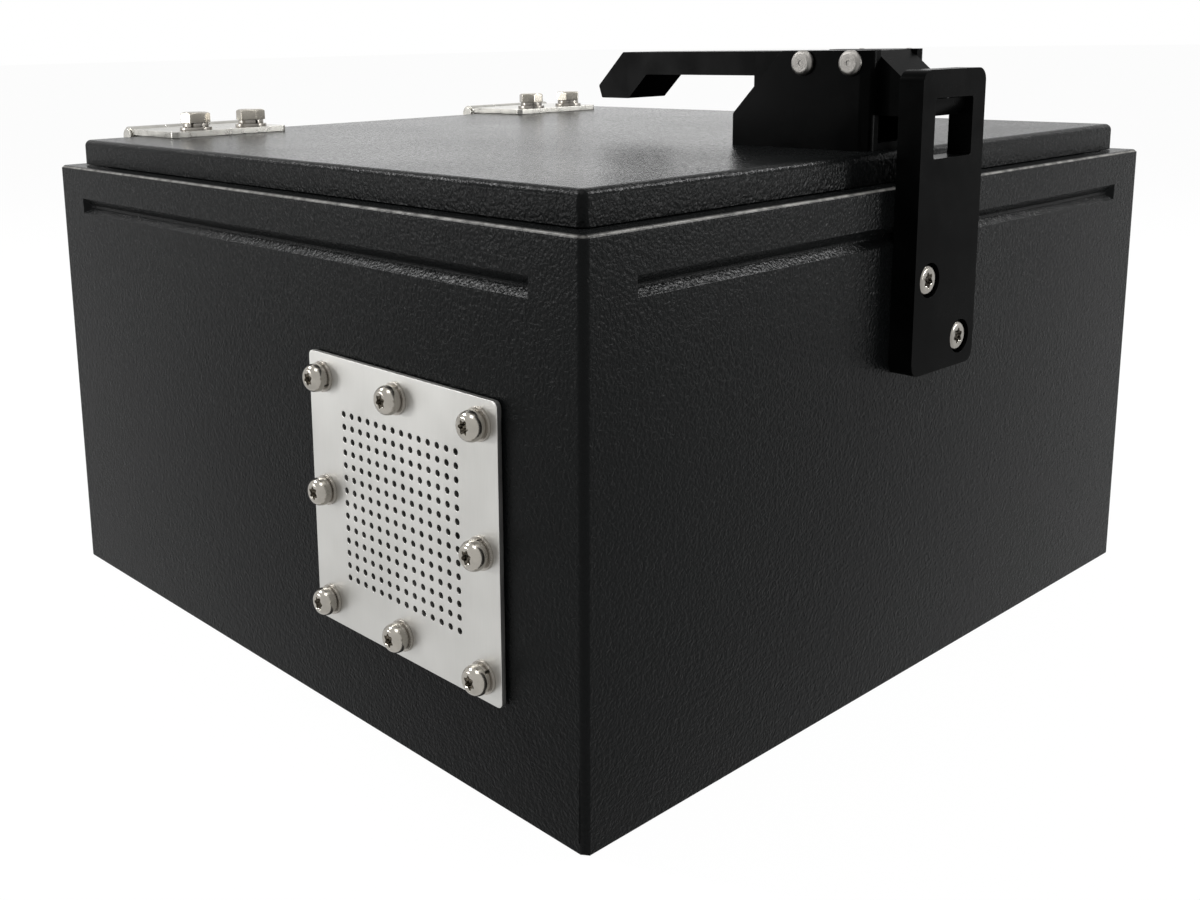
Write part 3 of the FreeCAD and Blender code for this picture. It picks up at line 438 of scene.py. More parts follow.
def make_zinc():
    """Bright zinc plating: a cold grey with small crystal patches, each a little lighter or darker."""
    plating = Finish("zinc_plating", Metallic=1)
    spangle = plating.node("ShaderNodeTexVoronoi", {}, {"Vector": plating.place, "Scale": 300}, 1)
    cloud = plating.noise(45, 4)
    patch = plating.node("ShaderNodeSeparateColor", {}, {"Color": spangle})
    return plating.wear(
        Base_Color=plating.colours(patch * 0.45 + cloud * 0.55, (0.25, (0.36, 0.38, 0.4)), (0.75, (0.52, 0.54, 0.55))),
        Roughness=plating.spread(cloud * 0.6 + patch * 0.4, 0.25, 0.75, 0.28, 0.46),
        Normal=plating.bump(cloud, 0.05 * MM))


def make_strike():
    low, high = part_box("strike_bracket")
    plate = new_block("strike_plate", low, high)
    sill, lintel = high.z - CROWN - WINDOW_TALL, high.z - CROWN
    pick("FACE", lambda face: abs(face.normal.y) > 0.9)
    bpy.ops.mesh.inset(thickness=CROWN, use_individual=True)
    half_way = (low.z + high.z) / 2
    move_corners(lambda at: Vector((
        WINDOW_WIDE / 2 * sign(at.x), at.y, lintel if at.z > half_way else sill)))
    bpy.ops.mesh.bridge_edge_loops()
    pick("EDGE", lambda edge: near(abs(middle(edge).x), high.x) and near(middle(edge).y, (low.y + high.y) / 2))
    bevel(STRIKE_CORNER, 8)
    pick("EDGE", lambda edge: near(abs(middle(edge).x), WINDOW_WIDE / 2) and near(
        middle(edge).y, (low.y + high.y) / 2))
    bevel(WINDOW_CORNER, 4)
    bpy.ops.object.mode_set(mode="OBJECT")
    for place in strike_screw_places():
        drill(plate, (place.x, low.y, place.z), (0, -1, 0), STRIKE_SINK_WIDE / 2, STRIKE_SINK_DEEP + MM)
    round_edges(plate, STRIKE_EDGE)
    dress(plate, satin_black, "box", "black_satin_steel", "strike_bracket")


def strike_screw_places():
    """The screws lie on a diagonal: the upper one on the left, the lower one on the right."""
    low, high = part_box("strike_screws")
    head = STRIKE_HEAD / 2
    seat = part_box("strike_bracket")[0].y + STRIKE_SINK_DEEP
    return [Vector((low.x + head, seat, high.z - head)), Vector((high.x - head, seat, low.z + head))]


# ---- Screws with six-lobed sockets ----------------------------------------------------------------
# Turned stainless screws. The sockets are sunk into domed heads, and the shanks end in a chamfer.
STRIKE_HEAD, STRIKE_HEAD_RISE, STRIKE_SOCKET = 13 * MM, 5 * MM, 6.6 * MM
SIDES = 48
LOBES, LOBE_DEPTH = 6, 0.14


def make_steel(name, colour, rough, scratch=1):
    """Stainless steel, with a faint uneven polish and fine marks from handling."""
    steel = Finish(name, Metallic=1)
    cloud = steel.noise(160, 3)
    marks = steel.noise(2600, 2, 0.6, 0.4)
    light = [min(1, part * 1.08) for part in colour]
    dark = [part * 0.84 for part in colour]
    return steel.wear(
        Base_Color=steel.colours(cloud, (0.3, dark), (0.68, light)),
        Roughness=steel.spread(cloud * 0.6 + marks * 0.4, 0.3, 0.7, rough * 0.75, rough * 1.3),
        Normal=steel.bump(marks, 0.02 * MM * scratch))


def reach_out(at, reach, z=None):
    """The place moved straight out from or in to the Z axis, to lie at a reach, and at a height if one is given."""
    flat = at.xy.normalized() * reach
    return Vector((flat.x, flat.y, at.z if z is None else z))


def turn_of(at):
    """The place's turn about the Z axis."""
    return atan2(at.y, at.x)


def sink_socket(top, across, depth):
    """Turns the flat top of a head into a six-lobed socket with a conical bottom."""
    pick("FACE", lambda face: face.normal.z > 0.999 and near(middle(face).z, top))
    bpy.ops.mesh.inset(thickness=0.2 * MM)
    move_corners(lambda at: reach_out(at, across / 2 * (1 - LOBE_DEPTH + LOBE_DEPTH * cos(LOBES * turn_of(at)))))
    bpy.ops.mesh.inset(thickness=0.12 * MM, depth=-0.12 * MM)
    bpy.ops.mesh.extrude_region_move(TRANSFORM_OT_translate={"value": (0, 0, -depth)})
    bpy.ops.mesh.inset(thickness=across / 5, depth=-across / 8)


def make_screw(name, head, rise, dome, socket, depth, shank, length, crown=1):
    """A screw standing with its head's seat on z = 0 and its shank going down. A crown above 1 draws
    its dome up into an oval."""
    rise /= crown
    screw = new_disc(name, head / 2, SIDES, "NGON")
    bpy.ops.mesh.select_all(action="SELECT")
    bpy.ops.mesh.extrude_region_move(TRANSFORM_OT_translate={"value": (0, 0, rise)})
    pick("EDGE", level_edge(rise))
    bevel(dome, 8)
    sink_socket(rise, socket, depth)
    move_corners(lambda at: Vector((at.x, at.y, at.z * crown)), lambda corner: True)
    pick("FACE", lambda face: near(middle(face).z, 0) and len(face.verts) > 4)
    bpy.ops.mesh.inset(thickness=(head - shank) / 2)
    add_shank(shank, length)
    pick("EDGE", lambda edge: level_edge(0)(edge) and near(edge.verts[0].co.xy.length, head / 2))
    bevel(0.3 * MM, 2)
    finish_solid(screw)
    return screw


def add_shank(shank, length):
    """A shank drawn down from the selected face. The end that stands past its nut shows its thread."""
    thread, turns = 1.25 * MM, 3
    bpy.ops.mesh.extrude_region_move(TRANSFORM_OT_translate={"value": (0, 0, turns * thread - length)})
    for _ in range(turns - 1):
        for grow in (-1, 1):
            bpy.ops.mesh.extrude_region_move(TRANSFORM_OT_translate={"value": (0, 0, -thread / 2)})
            share = 1 + grow * 0.11 if grow < 0 else 1 / (1 - 0.11)
            bpy.ops.transform.resize(value=(share, share, 1), center_override=(0, 0, 0))
    bpy.ops.mesh.extrude_region_move(TRANSFORM_OT_translate={"value": (0, 0, -thread / 2)})
    bpy.ops.transform.resize(value=(0.86, 0.86, 1), center_override=(0, 0, 0))


def finish_solid(obj):
    """Closes up the doubled corners and turns every face outwards."""
    if obj.mode != "EDIT":
        edit(obj)
    bpy.ops.mesh.select_all(action="SELECT")
    bpy.ops.mesh.remove_doubles(threshold=0.002 * MM)
    bpy.ops.mesh.normals_make_consistent(inside=False)
    bpy.ops.object.mode_set(mode="OBJECT")


def make_washer(name, outside, bore, thick):
    washer = new_disc(name, outside / 2, SIDES)
    bpy.ops.mesh.select_all(action="SELECT")
    bpy.ops.mesh.extrude_edges_move()
    bpy.ops.transform.resize(value=(bore / outside, bore / outside, 1), center_override=(0, 0, 0))
    modify(washer, "SOLIDIFY", thickness=thick, offset=0)
    finish_solid(washer)
    washer.data.transform(Matrix.Translation((0, 0, thick / 2)))
    round_edges(washer, 0.2 * MM, 2)
    return washer


def hexagon_reach(turn, flats):
    """How far a hexagon's side is from its middle in a direction."""
    sixth = pi / 3
    return flats / 2 / cos((turn % sixth) - sixth / 2)


def make_hexagon(name, flats, rise, both_ends):
    """A hexagon whose corners are turned down to a cone, as on a bolt head or a nut."""
    head = new_disc(name, flats / 2, SIDES, "NGON")
    bpy.ops.mesh.select_all(action="SELECT")
    bpy.ops.mesh.extrude_region_move(TRANSFORM_OT_translate={"value": (0, 0, rise)})
    crown = flats / 2 * 0.94

    def turned_down(at):
        reach = hexagon_reach(turn_of(at), flats)
        fall = (reach - crown) * tan(radians(30))
        return reach_out(at, reach, rise - fall if at.z > rise / 2 else fall * both_ends)

    move_corners(turned_down, lambda corner: True)
    ends = (1, -1) if both_ends else (1,)
    for way in ends:
        pick("FACE", lambda face: len(face.verts) > 4 and face.normal.z * way > 0.5)
        bpy.ops.mesh.inset(thickness=0.4 * MM)
        move_corners(lambda at: reach_out(at, crown, rise if way > 0 else 0))
    return head


def make_nut(name, flats, rise, bore):
    nut = make_hexagon(name, flats, rise, True)
    pick("FACE", lambda face: len(face.verts) > 4 and abs(face.normal.z) > 0.9)
    bpy.ops.mesh.inset(thickness=0.5 * MM, use_individual=True)
    move_corners(lambda at: reach_out(at, bore / 2))
    bpy.ops.mesh.bridge_edge_loops()
    finish_solid(nut)
    round_edges(nut, 0.2 * MM, 2)
    return nut


def repeat(master, places, facing, material, body, slot, node):
    """Copies of a piece at each place, each with a mesh of its own and turned a little differently."""
    for number, place in enumerate(places, start=1):
        piece = master.copy()
        piece.data = master.data.copy()
        piece.name = f"{master.name}_{number}"
        bpy.context.scene.collection.objects.link(piece)
        piece.data.transform(Matrix.Rotation(number * 0.7, 4, "Z"))
        turned(piece, place, facing)
        dress(piece, material, body, slot, node)
    bpy.data.objects.remove(master)


satin_black = make_satin_black()
bright_steel = make_steel("bright_stainless", (0.35, 0.33, 0.295), 0.15)
# Painted shade: the screws sunk in the strike get a darker copy of the screw stainless, for the shade of their
# counterbores.
shaded_strike_screw_steel = make_steel("strike_screw_stainless_painted_shade", (0.28, 0.265, 0.24), 0.2)
make_strike()
strike_low, strike_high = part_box("strike_screws")
strike_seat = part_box("strike_bracket")[0].y + STRIKE_SINK_DEEP
repeat(make_screw("strike_screw", STRIKE_HEAD, STRIKE_HEAD_RISE, 2.4 * MM, STRIKE_SOCKET, 2.4 * MM,
                  8 * MM, strike_high.y - strike_seat),
       strike_screw_places(), (0, -1, 0), shaded_strike_screw_steel, "box", "stainless_fasteners", "strike_screws")

# Inside the box, a zinc-plated plate spreads the load, and each screw has a flat washer and a nut.
STRIKE_WASHER, STRIKE_NUT_FLATS, STRIKE_BORE = 16 * MM, 13 * MM, 8.6 * MM
PAD_EDGE = 0.5 * MM
zinc = make_zinc()
nut_steel = make_steel("nut_stainless", (0.4, 0.38, 0.34), 0.26)
worked_copy("strike_backing_plate", "strike_inner_plate", PAD_EDGE, zinc, "box", "zinc_plate", 2)
flat_low, flat_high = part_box("strike_washers")
nut_low, nut_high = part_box("strike_nuts")
repeat(make_washer("strike_washer", STRIKE_WASHER, STRIKE_BORE, flat_high.y - flat_low.y),
       [(place.x, flat_low.y, place.z) for place in strike_screw_places()], (0, 1, 0),
       nut_steel, "box", "stainless_fasteners", "strike_washers")
repeat(make_nut("strike_nut", STRIKE_NUT_FLATS, nut_high.y - nut_low.y, 8 * MM),
       [(place.x, nut_low.y, place.z) for place in strike_screw_places()], (0, 1, 0),
       nut_steel, "box", "stainless_fasteners", "strike_nuts")

# ---- The vent -----------------------------------------------------------------------------------
# A square stainless plate with a grid of punched holes, over a rubber gasket. Eight screws with
# spring and flat washers go through the wall into a frame that holds a filter cloth inside.
GRID, PITCH, HOLE = 14, 5 * MM, 2.4 * MM
PLATE_CORNER, PLATE_EDGE = 4 * MM, 0.22 * MM
SMALL_HEAD, SMALL_RISE, SMALL_DOME, SMALL_SOCKET, SMALL_SHANK = 11 * MM, 4.2 * MM, 2.5 * MM, 5.6 * MM, 6 * MM
SMALL_WASHER, SMALL_SPRING, SMALL_BORE, SMALL_CROWN = 12 * MM, 10 * MM, 6.6 * MM, 1.4


def make_plate_steel():
    """Matte rolled sheet: fine grain that runs up and down, and cloudy patches."""
    sheet = Finish("rolled_stainless", Metallic=1)
    grain = sheet.noise(1, 3, 0.6, 0, sheet.stretched(900, 2600, 90))
    cloud = sheet.noise(28, 3)
    tone = cloud * 0.7 + grain * 0.3
    return sheet.wear(
        Base_Color=sheet.colours(tone, (0.3, (0.46, 0.455, 0.435)), (0.7, (0.56, 0.555, 0.535))),
        Roughness=sheet.spread(grain * 0.6 + cloud * 0.4, 0.3, 0.7, 0.34, 0.5),
        Normal=sheet.bump(grain, 0.012 * MM))


def make_vent_grille():
    low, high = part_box("vent_plate")
    side, thick = high.y - low.y, high.x - low.x
    grille = new_disc("vent_grille", HOLE / 2, 16)
    bpy.ops.mesh.select_all(action="SELECT")
    bpy.ops.mesh.extrude_edges_move()
    square_up(PITCH / 2)
    for way in ((PITCH, 0, 0), (0, PITCH, 0)):
        modify(grille, "ARRAY", count=GRID, use_relative_offset=False, use_constant_offset=True,
               constant_offset_displace=way, use_merge_vertices=True, merge_threshold=0.01 * MM)
    edit(grille)
    bpy.ops.mesh.select_all(action="SELECT")
    bpy.ops.transform.translate(value=[-(GRID - 1) / 2 * PITCH] * 2 + [0])
    edge = GRID * PITCH / 2
    pick("EDGE", lambda part: part.is_boundary and (
        all(near(abs(corner.co.x), edge) for corner in part.verts)
        or all(near(abs(corner.co.y), edge) for corner in part.verts)))
    bpy.ops.mesh.extrude_edges_move()
    square_up(side / 2)
    modify(grille, "SOLIDIFY", thickness=thick, offset=0)
    edit(grille)
    pick("EDGE", lambda part: all(near(abs(corner.co.x), side / 2) and near(abs(corner.co.y), side / 2)
                                  for corner in part.verts))
    bevel(PLATE_CORNER, 6)
    finish_solid(grille)
    round_edges(grille, PLATE_EDGE, 2)
    turned(grille, (low + high) / 2, (-1, 0, 0))
    dress(grille, plate_steel, "box", "perforated_stainless", "vent_plate")


def square_up(half):
    """Moves the selected corners out on to a square about the middle."""
    move_corners(lambda at: at * half / max(abs(at.x), abs(at.y)))


def make_spring_washer(name, outside, bore, thick):
    """A ring of square wire, cut through, whose two ends stand a little apart."""
    bpy.ops.object.select_all(action="DESELECT")
    bpy.ops.mesh.primitive_plane_add(size=1)
    ring = bpy.context.object
    ring.name = name
    ring.data.transform(Matrix(((outside - bore) / 2 * Vector((1, 0, 0, 0)), (0, 0, 0, 0),
                                thick * 0.92 * Vector((0, 1, 0, 0)), (0, 0, 0, 1))))
    ring.data.transform(Matrix.Translation(((outside + bore) / 4, 0, thick / 2)))
    edit(ring)
    bpy.ops.mesh.select_all(action="SELECT")
    bpy.ops.mesh.spin(steps=44, angle=radians(350), center=(0, 0, 0), axis=(0, 0, 1))
    move_corners(lambda at: at + Vector((0, 0, thick * 0.04 * turn_of(at) / pi)), lambda corner: True)
    finish_solid(ring)
    round_edges(ring, 0.22 * MM, 2)
    return ring


def grid_of_eight(node, across):
    """The eight places round a square where the pieces of a node lie, from the node's own box."""
    low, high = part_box(node)
    centre = (low + high) / 2
    reach = (high.y - low.y - across) / 2
    return [(centre.y + reach * a, centre.z + reach * b) for a in (-1, 0, 1) for b in (-1, 0, 1) if (a, b) != (0, 0)]


plate_steel = make_plate_steel()
make_vent_grille()
small_spots = grid_of_eight("vent_flat_washers", SMALL_WASHER)
washer_low, washer_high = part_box("vent_flat_washers")
spring_low, spring_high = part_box("vent_spring_washers")
screw_low, screw_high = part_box("vent_screws")
washer_steel = make_steel("washer_stainless", (0.34, 0.32, 0.29), 0.28)
repeat(make_washer("vent_flat_washer", SMALL_WASHER, SMALL_BORE, washer_high.x - washer_low.x),
       [(washer_high.x, y, z) for y, z in small_spots], (-1, 0, 0),
       washer_steel, "box", "stainless_fasteners", "vent_flat_washers")
repeat(make_spring_washer("vent_spring_washer", SMALL_SPRING, SMALL_BORE, spring_high.x - spring_low.x),
       [(spring_high.x, y, z) for y, z in small_spots], (-1, 0, 0),
       washer_steel, "box", "stainless_fasteners", "vent_spring_washers")
repeat(make_screw("vent_screw", SMALL_HEAD, SMALL_RISE, SMALL_DOME, SMALL_SOCKET, 1.9 * MM, SMALL_SHANK,
                  screw_high.x - screw_low.x - SMALL_RISE, SMALL_CROWN),
       [(screw_low.x + SMALL_RISE, y, z) for y, z in small_spots], (-1, 0, 0),
       bright_steel, "box", "stainless_fasteners", "vent_screws")


# Behind the plate lies a thin rubber gasket. Inside the box a folded frame holds the filter cloth,
# and eight nuts hold the frame.
FILTER_PLAY, FILTER_EDGE, FRAME_EDGE = 0.15 * MM, 0.3 * MM, 0.4 * MM
THREADS = 260
VENT_NUT_FLATS = 10 * MM


def make_rubber():
    rubber = Finish("black_foam_rubber", IOR=1.3)
    cells = rubber.node("ShaderNodeTexVoronoi", {}, {"Vector": rubber.place, "Scale": 1500})
    cloud = rubber.noise(60, 3)
    return rubber.wear(
        Base_Color=rubber.colours(cloud, (0.3, (0.012, 0.012, 0.012)), (0.7, (0.026, 0.026, 0.027))),
        Roughness=rubber.spread(cloud, 0.3, 0.7, 0.7, 0.88),
        Normal=rubber.bump(cells, 0.12 * MM))


def make_filter_cloth():
    """Charcoal cloth in a plain open weave, with uneven threads and dusty patches."""
    cloth = Finish("charcoal_weave", IOR=1.3)
    uneven = cloth.noise(600, 2)
    across = cloth.node("ShaderNodeTexWave", {"bands_direction": "Y"},
                        {"Vector": cloth.place, "Scale": THREADS, "Distortion": 0.4, "Detail": 1.0})
    upward = cloth.node("ShaderNodeTexWave", {"bands_direction": "Z"},
                        {"Vector": cloth.place, "Scale": THREADS, "Distortion": 0.4, "Detail": 1.0})
    weave = across.sum("MAXIMUM", across, upward)
    patches = cloth.noise(90, 3)
    tone = weave * 0.6 + uneven * 0.2 + patches * 0.2
    return cloth.wear(
        Base_Color=cloth.colours(tone, (0.35, (0.006, 0.006, 0.0065)), (0.75, (0.05, 0.05, 0.052))),
        Roughness=cloth.spread(tone, 0.3, 0.7, 0.8, 0.95),
        Normal=cloth.bump(weave * 0.8 + uneven * 0.2, 0.3 * MM))


def make_filter():
    """The cloth, a little fuller between its edges than where the frame clamps it."""
    low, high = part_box("vent_filter")
    play = Vector((0, FILTER_PLAY, FILTER_PLAY))
    mat = new_block("vent_filter_cloth", low + play, high - play)
    bpy.ops.mesh.select_all(action="SELECT")
    for along in ((0, 1, 0), (0, 0, 1)):
        for step in range(1, 12):
            bpy.ops.mesh.select_all(action="SELECT")
            bpy.ops.mesh.bisect(plane_co=low + (high - low) * step / 12, plane_no=along)
    centre, half = (low + high) / 2, (high - low) / 2

    def fuller(at):
        y, z = (at.y - centre.y) / half.y, (at.z - centre.z) / half.z
        thin = 0.86 + 0.14 * (1 - y ** 4) * (1 - z ** 4)
        return Vector((low.x + (at.x - low.x) * thin, at.y, at.z))

    move_corners(fuller, lambda corner: True)
    finish_solid(mat)
    round_edges(mat, FILTER_EDGE, 2)
    dress(mat, make_filter_cloth(), "box", "filter_fabric", "vent_filter")


rubber = make_rubber()
worked_copy("vent_gasket", "vent_gasket_rubber", 0.1 * MM, rubber, "box", "black_rubber", 1)
worked_copy("vent_inner_frame", "vent_frame", FRAME_EDGE, zinc, "box", "zinc_plate", 2)
make_filter()
nuts_low, nuts_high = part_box("vent_nuts")
repeat(make_nut("vent_nut", VENT_NUT_FLATS, nuts_high.x - nuts_low.x, SMALL_SHANK),
       [(nuts_low.x, y, z) for y, z in small_spots], (1, 0, 0), nut_steel, "box", "stainless_fasteners", "vent_nuts")


# ---- The lid --------------------------------------------------------------------------------------
# A shallow pan folded from 1.5 mm sheet, with soft bends and the same powder coat as the box.
# A rubber seal is stuck inside it, where it meets the box's upstand.
LID_WALL, LID_BEND, LID_CORNER, SHEET_EDGE = 1.5 * MM, 4 * MM, 3 * MM, 0.25 * MM
SEAL_WIDE, SEAL_ROUND = 12 * MM, 1.4 * MM


def make_lid():
    low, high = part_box("lid_pan")
    lid = new_block("lid_panel", low, high)
    pick("EDGE", upright)
    bevel(LID_CORNER, 6)
    pick("EDGE", level_edge(high.z))
    bevel(LID_BEND, 8)
    pick("FACE", lambda face: face.normal.z < -0.9 and near(middle(face).z, low.z))
    bpy.ops.mesh.delete(type="FACE")
    modify(lid, "SOLIDIFY", thickness=LID_WALL, offset=-1, use_even_offset=True)
    round_edges(lid, SHEET_EDGE, 2)
    dress(lid, powder_coat, "lid", "black_powder_coat", "lid_pan")


def make_seal():
    low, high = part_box("lid_seal")
    seal = new_block("lid_seal_strip", low, high)
    pick("FACE", lambda face: abs(face.normal.z) > 0.9)
    bpy.ops.mesh.inset(thickness=SEAL_WIDE, use_individual=True)
    bpy.ops.mesh.bridge_edge_loops()
    finish_solid(seal)
    round_edges(seal, SEAL_ROUND, 4)
    dress(seal, rubber, "lid", "black_rubber", "lid_seal")


make_lid()
make_seal()

# ---- The hinges -----------------------------------------------------------------------------------
# Two stainless leaf hinges. The lid's leaf carries the middle knuckle, the box's leaf the outer two,
# and a pin with two flat heads stays in the outer ones. Hexagon bolts hold them.
LEAF_EDGE, PIN_EDGE = 0.35 * MM, 0.3 * MM
BOLT_FLATS, BOLT_RISE, BOLT_SHANK, BOLT_BORE = 13 * MM, 5.3 * MM, 8 * MM, 8.6 * MM
BOLT_WASHER, BOLT_SPRING = 16 * MM, 13 * MM
NUT_RISE = 6.5 * MM


def make_hex_bolt(name, length):
    bolt = make_hexagon(name, BOLT_FLATS, BOLT_RISE, False)
    pick("FACE", lambda face: len(face.verts) > 4 and face.normal.z > 0.9)
    for step in (0.3, 0.5):
        bpy.ops.mesh.inset(thickness=BOLT_FLATS / 2 * step * 0.5, depth=0.22 * MM * (0.8 - step))
    pick("FACE", lambda face: len(face.verts) > 4 and face.normal.z < -0.9)
    bpy.ops.mesh.inset(thickness=0.5 * MM)
    move_corners(lambda at: reach_out(at, BOLT_SHANK / 2))
    add_shank(BOLT_SHANK, length)
    finish_solid(bolt)
    round_edges(bolt, 0.25 * MM, 2)
    return bolt


def row_of_four(node, across):
    """The places along X of the four fasteners of a node, two at each hinge."""
    low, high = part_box(node)
    leaf_low, leaf_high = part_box("hinge_lid_leaf_right")
    far = high.x - across / 2
    close = leaf_low.x + leaf_high.x - far
    return [-far, -close, close, far]


hinge_steel = make_steel("hinge_stainless", (0.42, 0.41, 0.38), 0.3)
bolt_steel = make_steel("bolt_stainless", (0.38, 0.355, 0.31), 0.24)
for side in ("left", "right"):
    worked_copy(f"hinge_lid_leaf_{side}", f"hinge_top_leaf_{side}", LEAF_EDGE, hinge_steel, "lid", "hinge_stainless")
    worked_copy(f"hinge_box_leaf_{side}", f"hinge_back_leaf_{side}", LEAF_EDGE, hinge_steel, "box", "hinge_stainless")
    worked_copy(f"hinge_pin_{side}", f"hinge_rivet_{side}", PIN_EDGE, hinge_steel, "box", "hinge_stainless")

bolt_rows = {
    "lid": (0, 0, 1, "lid_hinge_bolts"),
    "box": (0, 1, 0, "box_hinge_bolts"),
}
for body in ("lid", "box"):
    facing = (0, 0, 1) if body == "lid" else (0, 1, 0)
    axis = 2 if body == "lid" else 1
    spots = row_of_four(f"{body}_hinge_bolts", BOLT_FLATS)
    low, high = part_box(f"{body}_hinge_bolts")
    line = (low + high) / 2

    def at(level, facing_line=line, axis=axis, spots=spots):
        """Each bolt's place at a level along its own axis."""
        places = []
        for x in spots:
            place = facing_line.copy()
            place.x, place[axis] = x, level
            places.append(place)
        return places

    seat = high[axis] - BOLT_RISE
    repeat(make_hex_bolt(f"{body}_hinge_bolt", seat - low[axis]), at(seat), facing, bolt_steel, body,
           "stainless_fasteners", f"{body}_hinge_bolts")
    low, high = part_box(f"{body}_hinge_spring_washers")
    repeat(make_spring_washer(f"{body}_hinge_spring_washer", BOLT_SPRING, BOLT_BORE, high[axis] - low[axis]),
           at(low[axis]), facing, washer_steel, body, "stainless_fasteners", f"{body}_hinge_spring_washers")
    flat = 1.6 * MM
    outer, inner = low[axis] - flat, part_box(f"{body}_hinge_washers")[0][axis]
    repeat(make_washer(f"{body}_hinge_washer", BOLT_WASHER, BOLT_BORE, flat), at(outer) + at(inner), facing,
           washer_steel, body, "stainless_fasteners", f"{body}_hinge_washers")
    low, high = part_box(f"{body}_hinge_nuts")
    repeat(make_nut(f"{body}_hinge_nut", BOLT_FLATS, high[axis] - low[axis], BOLT_SHANK), at(low[axis]), facing,
           bolt_steel, body, "stainless_fasteners", f"{body}_hinge_nuts")

# ---- The latch --------------------------------------------------------------------------------------
# A milled housing with two cheeks, and a lever between them on a pin. The lever's tongue hooks into
# the strike's window, and a second pin in a slot stops its travel. Both are painted satin black.
HOUSING_EDGE, LEVER_EDGE, PIN_HEAD_EDGE = 0.5 * MM, 0.6 * MM, 0.15 * MM
DIMPLE, DIMPLE_DEEP = 0.9 * MM, 0.35 * MM

worked_copy("latch_housing", "latch_cheeks", HOUSING_EDGE, satin_black, "lid", "black_satin_steel")
worked_copy("latch_lever", "latch_handle", LEVER_EDGE, satin_black, "lever", "black_satin_steel")
pin_steel = make_steel("dull_pin_steel", (0.25, 0.24, 0.225), 0.4, 6)
for node, name in (("latch_pivot_pin", "latch_pivot"), ("latch_stop_pin", "latch_stop")):
    low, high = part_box(node)
    pin_middle = (low + high) / 2
    worked_copy(node, name, PIN_HEAD_EDGE, pin_steel, "lid", "dull_steel_pins", 2, [
        ((high.x, pin_middle.y, pin_middle.z), (1, 0, 0)), ((low.x, pin_middle.y, pin_middle.z), (-1, 0, 0))])

# Under the lid, four screws come up through a zinc-plated plate into the housing.
LATCH_HEAD, LATCH_RISE, LATCH_DOME, LATCH_SOCKET, LATCH_SHANK = 9 * MM, 3 * MM, 1.8 * MM, 4.5 * MM, 5 * MM
worked_copy("latch_backing_plate", "latch_inner_plate", PAD_EDGE, zinc, "lid", "zinc_plate", 2)
screws_low, screws_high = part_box("latch_screws")
latch_spots = [(x, y, screws_low.z + LATCH_RISE)
               for x in (screws_low.x + LATCH_HEAD / 2, screws_high.x - LATCH_HEAD / 2)
               for y in (screws_low.y + LATCH_HEAD / 2, screws_high.y - LATCH_HEAD / 2)]
repeat(make_screw("latch_screw", LATCH_HEAD, LATCH_RISE, LATCH_DOME, LATCH_SOCKET, 1.5 * MM, LATCH_SHANK,
                  screws_high.z - screws_low.z - LATCH_RISE),
       latch_spots, (0, 0, -1), bright_steel, "lid", "stainless_fasteners", "latch_screws")

# ---- The room -----------------------------------------------------------------------------------
# A plain white floor and soft light from above and both sides, which are not part of the object.
CAMERA_AT = (-0.46782, -0.45668, 0.26264)
CAMERA_TURN = (78.716, 1.047, -41.528)
LENS, SHIFT = 39.88, (0.0910, -0.1216)
WORLD_FILL, FLOOR_GLOW = 0.4, 1.02


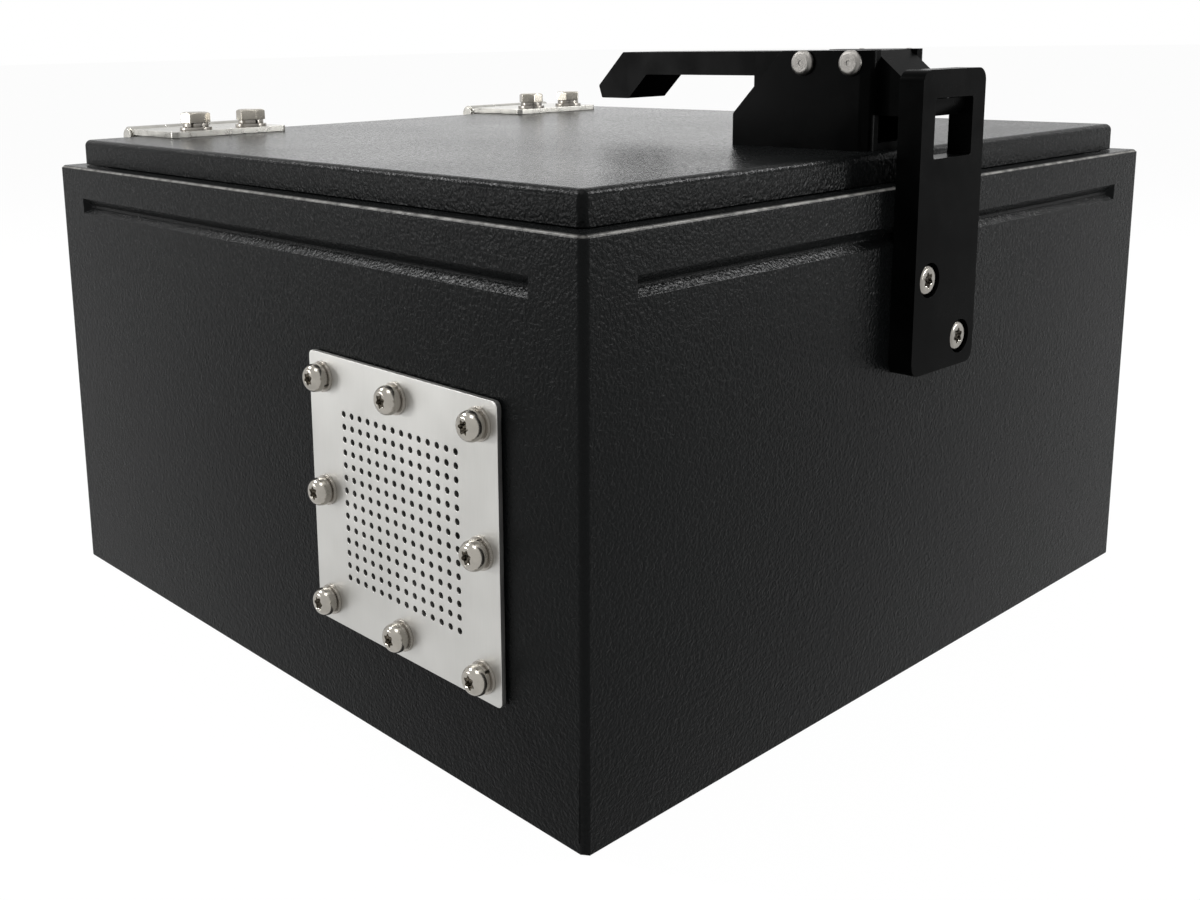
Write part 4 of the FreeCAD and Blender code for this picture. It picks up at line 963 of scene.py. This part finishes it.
def make_room():
    bpy.ops.object.select_all(action="DESELECT")
    bpy.ops.mesh.primitive_plane_add(size=40)
    floor = bpy.context.object
    floor.name = "floor"
    white = Finish("floor_white", Base_Color=(0.82, 0.82, 0.82, 1), Roughness=0.9, Specular_IOR_Level=0.1)
    tree, nodes = white.tree, white.tree.nodes
    rays = nodes.new("ShaderNodeLightPath")
    seen = (Level(white, rays.outputs["Is Camera Ray"]) + Level(white, rays.outputs["Is Glossy Ray"])
            + Level(white, rays.outputs["Is Transmission Ray"]))
    glow = nodes.new("ShaderNodeEmission")
    glow.inputs["Strength"].default_value = FLOOR_GLOW
    mix = nodes.new("ShaderNodeMixShader")
    tree.links.new((seen * 0.93).socket, mix.inputs[0])
    tree.links.new(white.surface.outputs[0], mix.inputs[1])
    tree.links.new(glow.outputs[0], mix.inputs[2])
    tree.links.new(mix.outputs[0], nodes["Material Output"].inputs[0])
    floor.data.materials.append(white.material)

    world = bpy.data.worlds.new("room")
    bpy.context.scene.world = world
    world.use_nodes = True
    nodes, links = world.node_tree.nodes, world.node_tree.links
    rays = nodes.new("ShaderNodeLightPath")
    strength = WORLD_FILL
    for ray in ("Is Camera Ray", "Is Glossy Ray", "Is Transmission Ray"):
        add = nodes.new("ShaderNodeMath")
        add.operation = "MULTIPLY_ADD"
        links.new(rays.outputs[ray], add.inputs[0])
        add.inputs[1].default_value = 1 - WORLD_FILL
        if strength is WORLD_FILL:
            add.inputs[2].default_value = WORLD_FILL
        else:
            links.new(strength, add.inputs[2])
        strength = add.outputs[0]
    nodes["Background"].inputs["Color"].default_value = (1, 1, 1, 1)
    links.new(strength, nodes["Background"].inputs["Strength"])

    for name, place, aim, size, power in (
            ("overhead_light", (-0.5, -0.4, 1.9), (0, 0, 0.1), 0.7, 8),
            ("right_high_light", (1.0, -0.68, 1.12), (0, -0.15, 0.15), 0.32, 14),
            ("left_high_light", (-0.66, 0.95, 1.15), (-0.15, 0, 0.15), 0.32, 14),
            ("right_low_light", (1.1, -1.35, 0.25), (0, -0.15, 0.1), 0.3, 5),
            ("left_low_light", (-1.35, 1.1, 0.25), (-0.15, 0, 0.1), 0.3, 5),
            ("back_light", (1.1, 1.2, 0.5), (0, 0, 0.2), 1.0, 1.6)):
        lamp = bpy.data.lights.new(name, "AREA")
        lamp.size, lamp.energy = size, power
        light = bpy.data.objects.new(name, lamp)
        bpy.context.scene.collection.objects.link(light)
        light.location = place
        light.visible_camera = False
        light.rotation_euler = (Vector(aim) - Vector(place)).to_track_quat("-Z", "Y").to_euler()

    bpy.ops.object.camera_add(location=CAMERA_AT, rotation=[radians(turn) for turn in CAMERA_TURN])
    camera = bpy.context.object
    camera.data.lens, camera.data.sensor_width = LENS, 36
    camera.data.shift_x, camera.data.shift_y = SHIFT
    camera.data.clip_start = 0.01
    bpy.context.scene.camera = camera
    bpy.context.scene.view_settings.view_transform = "Standard"


make_room()
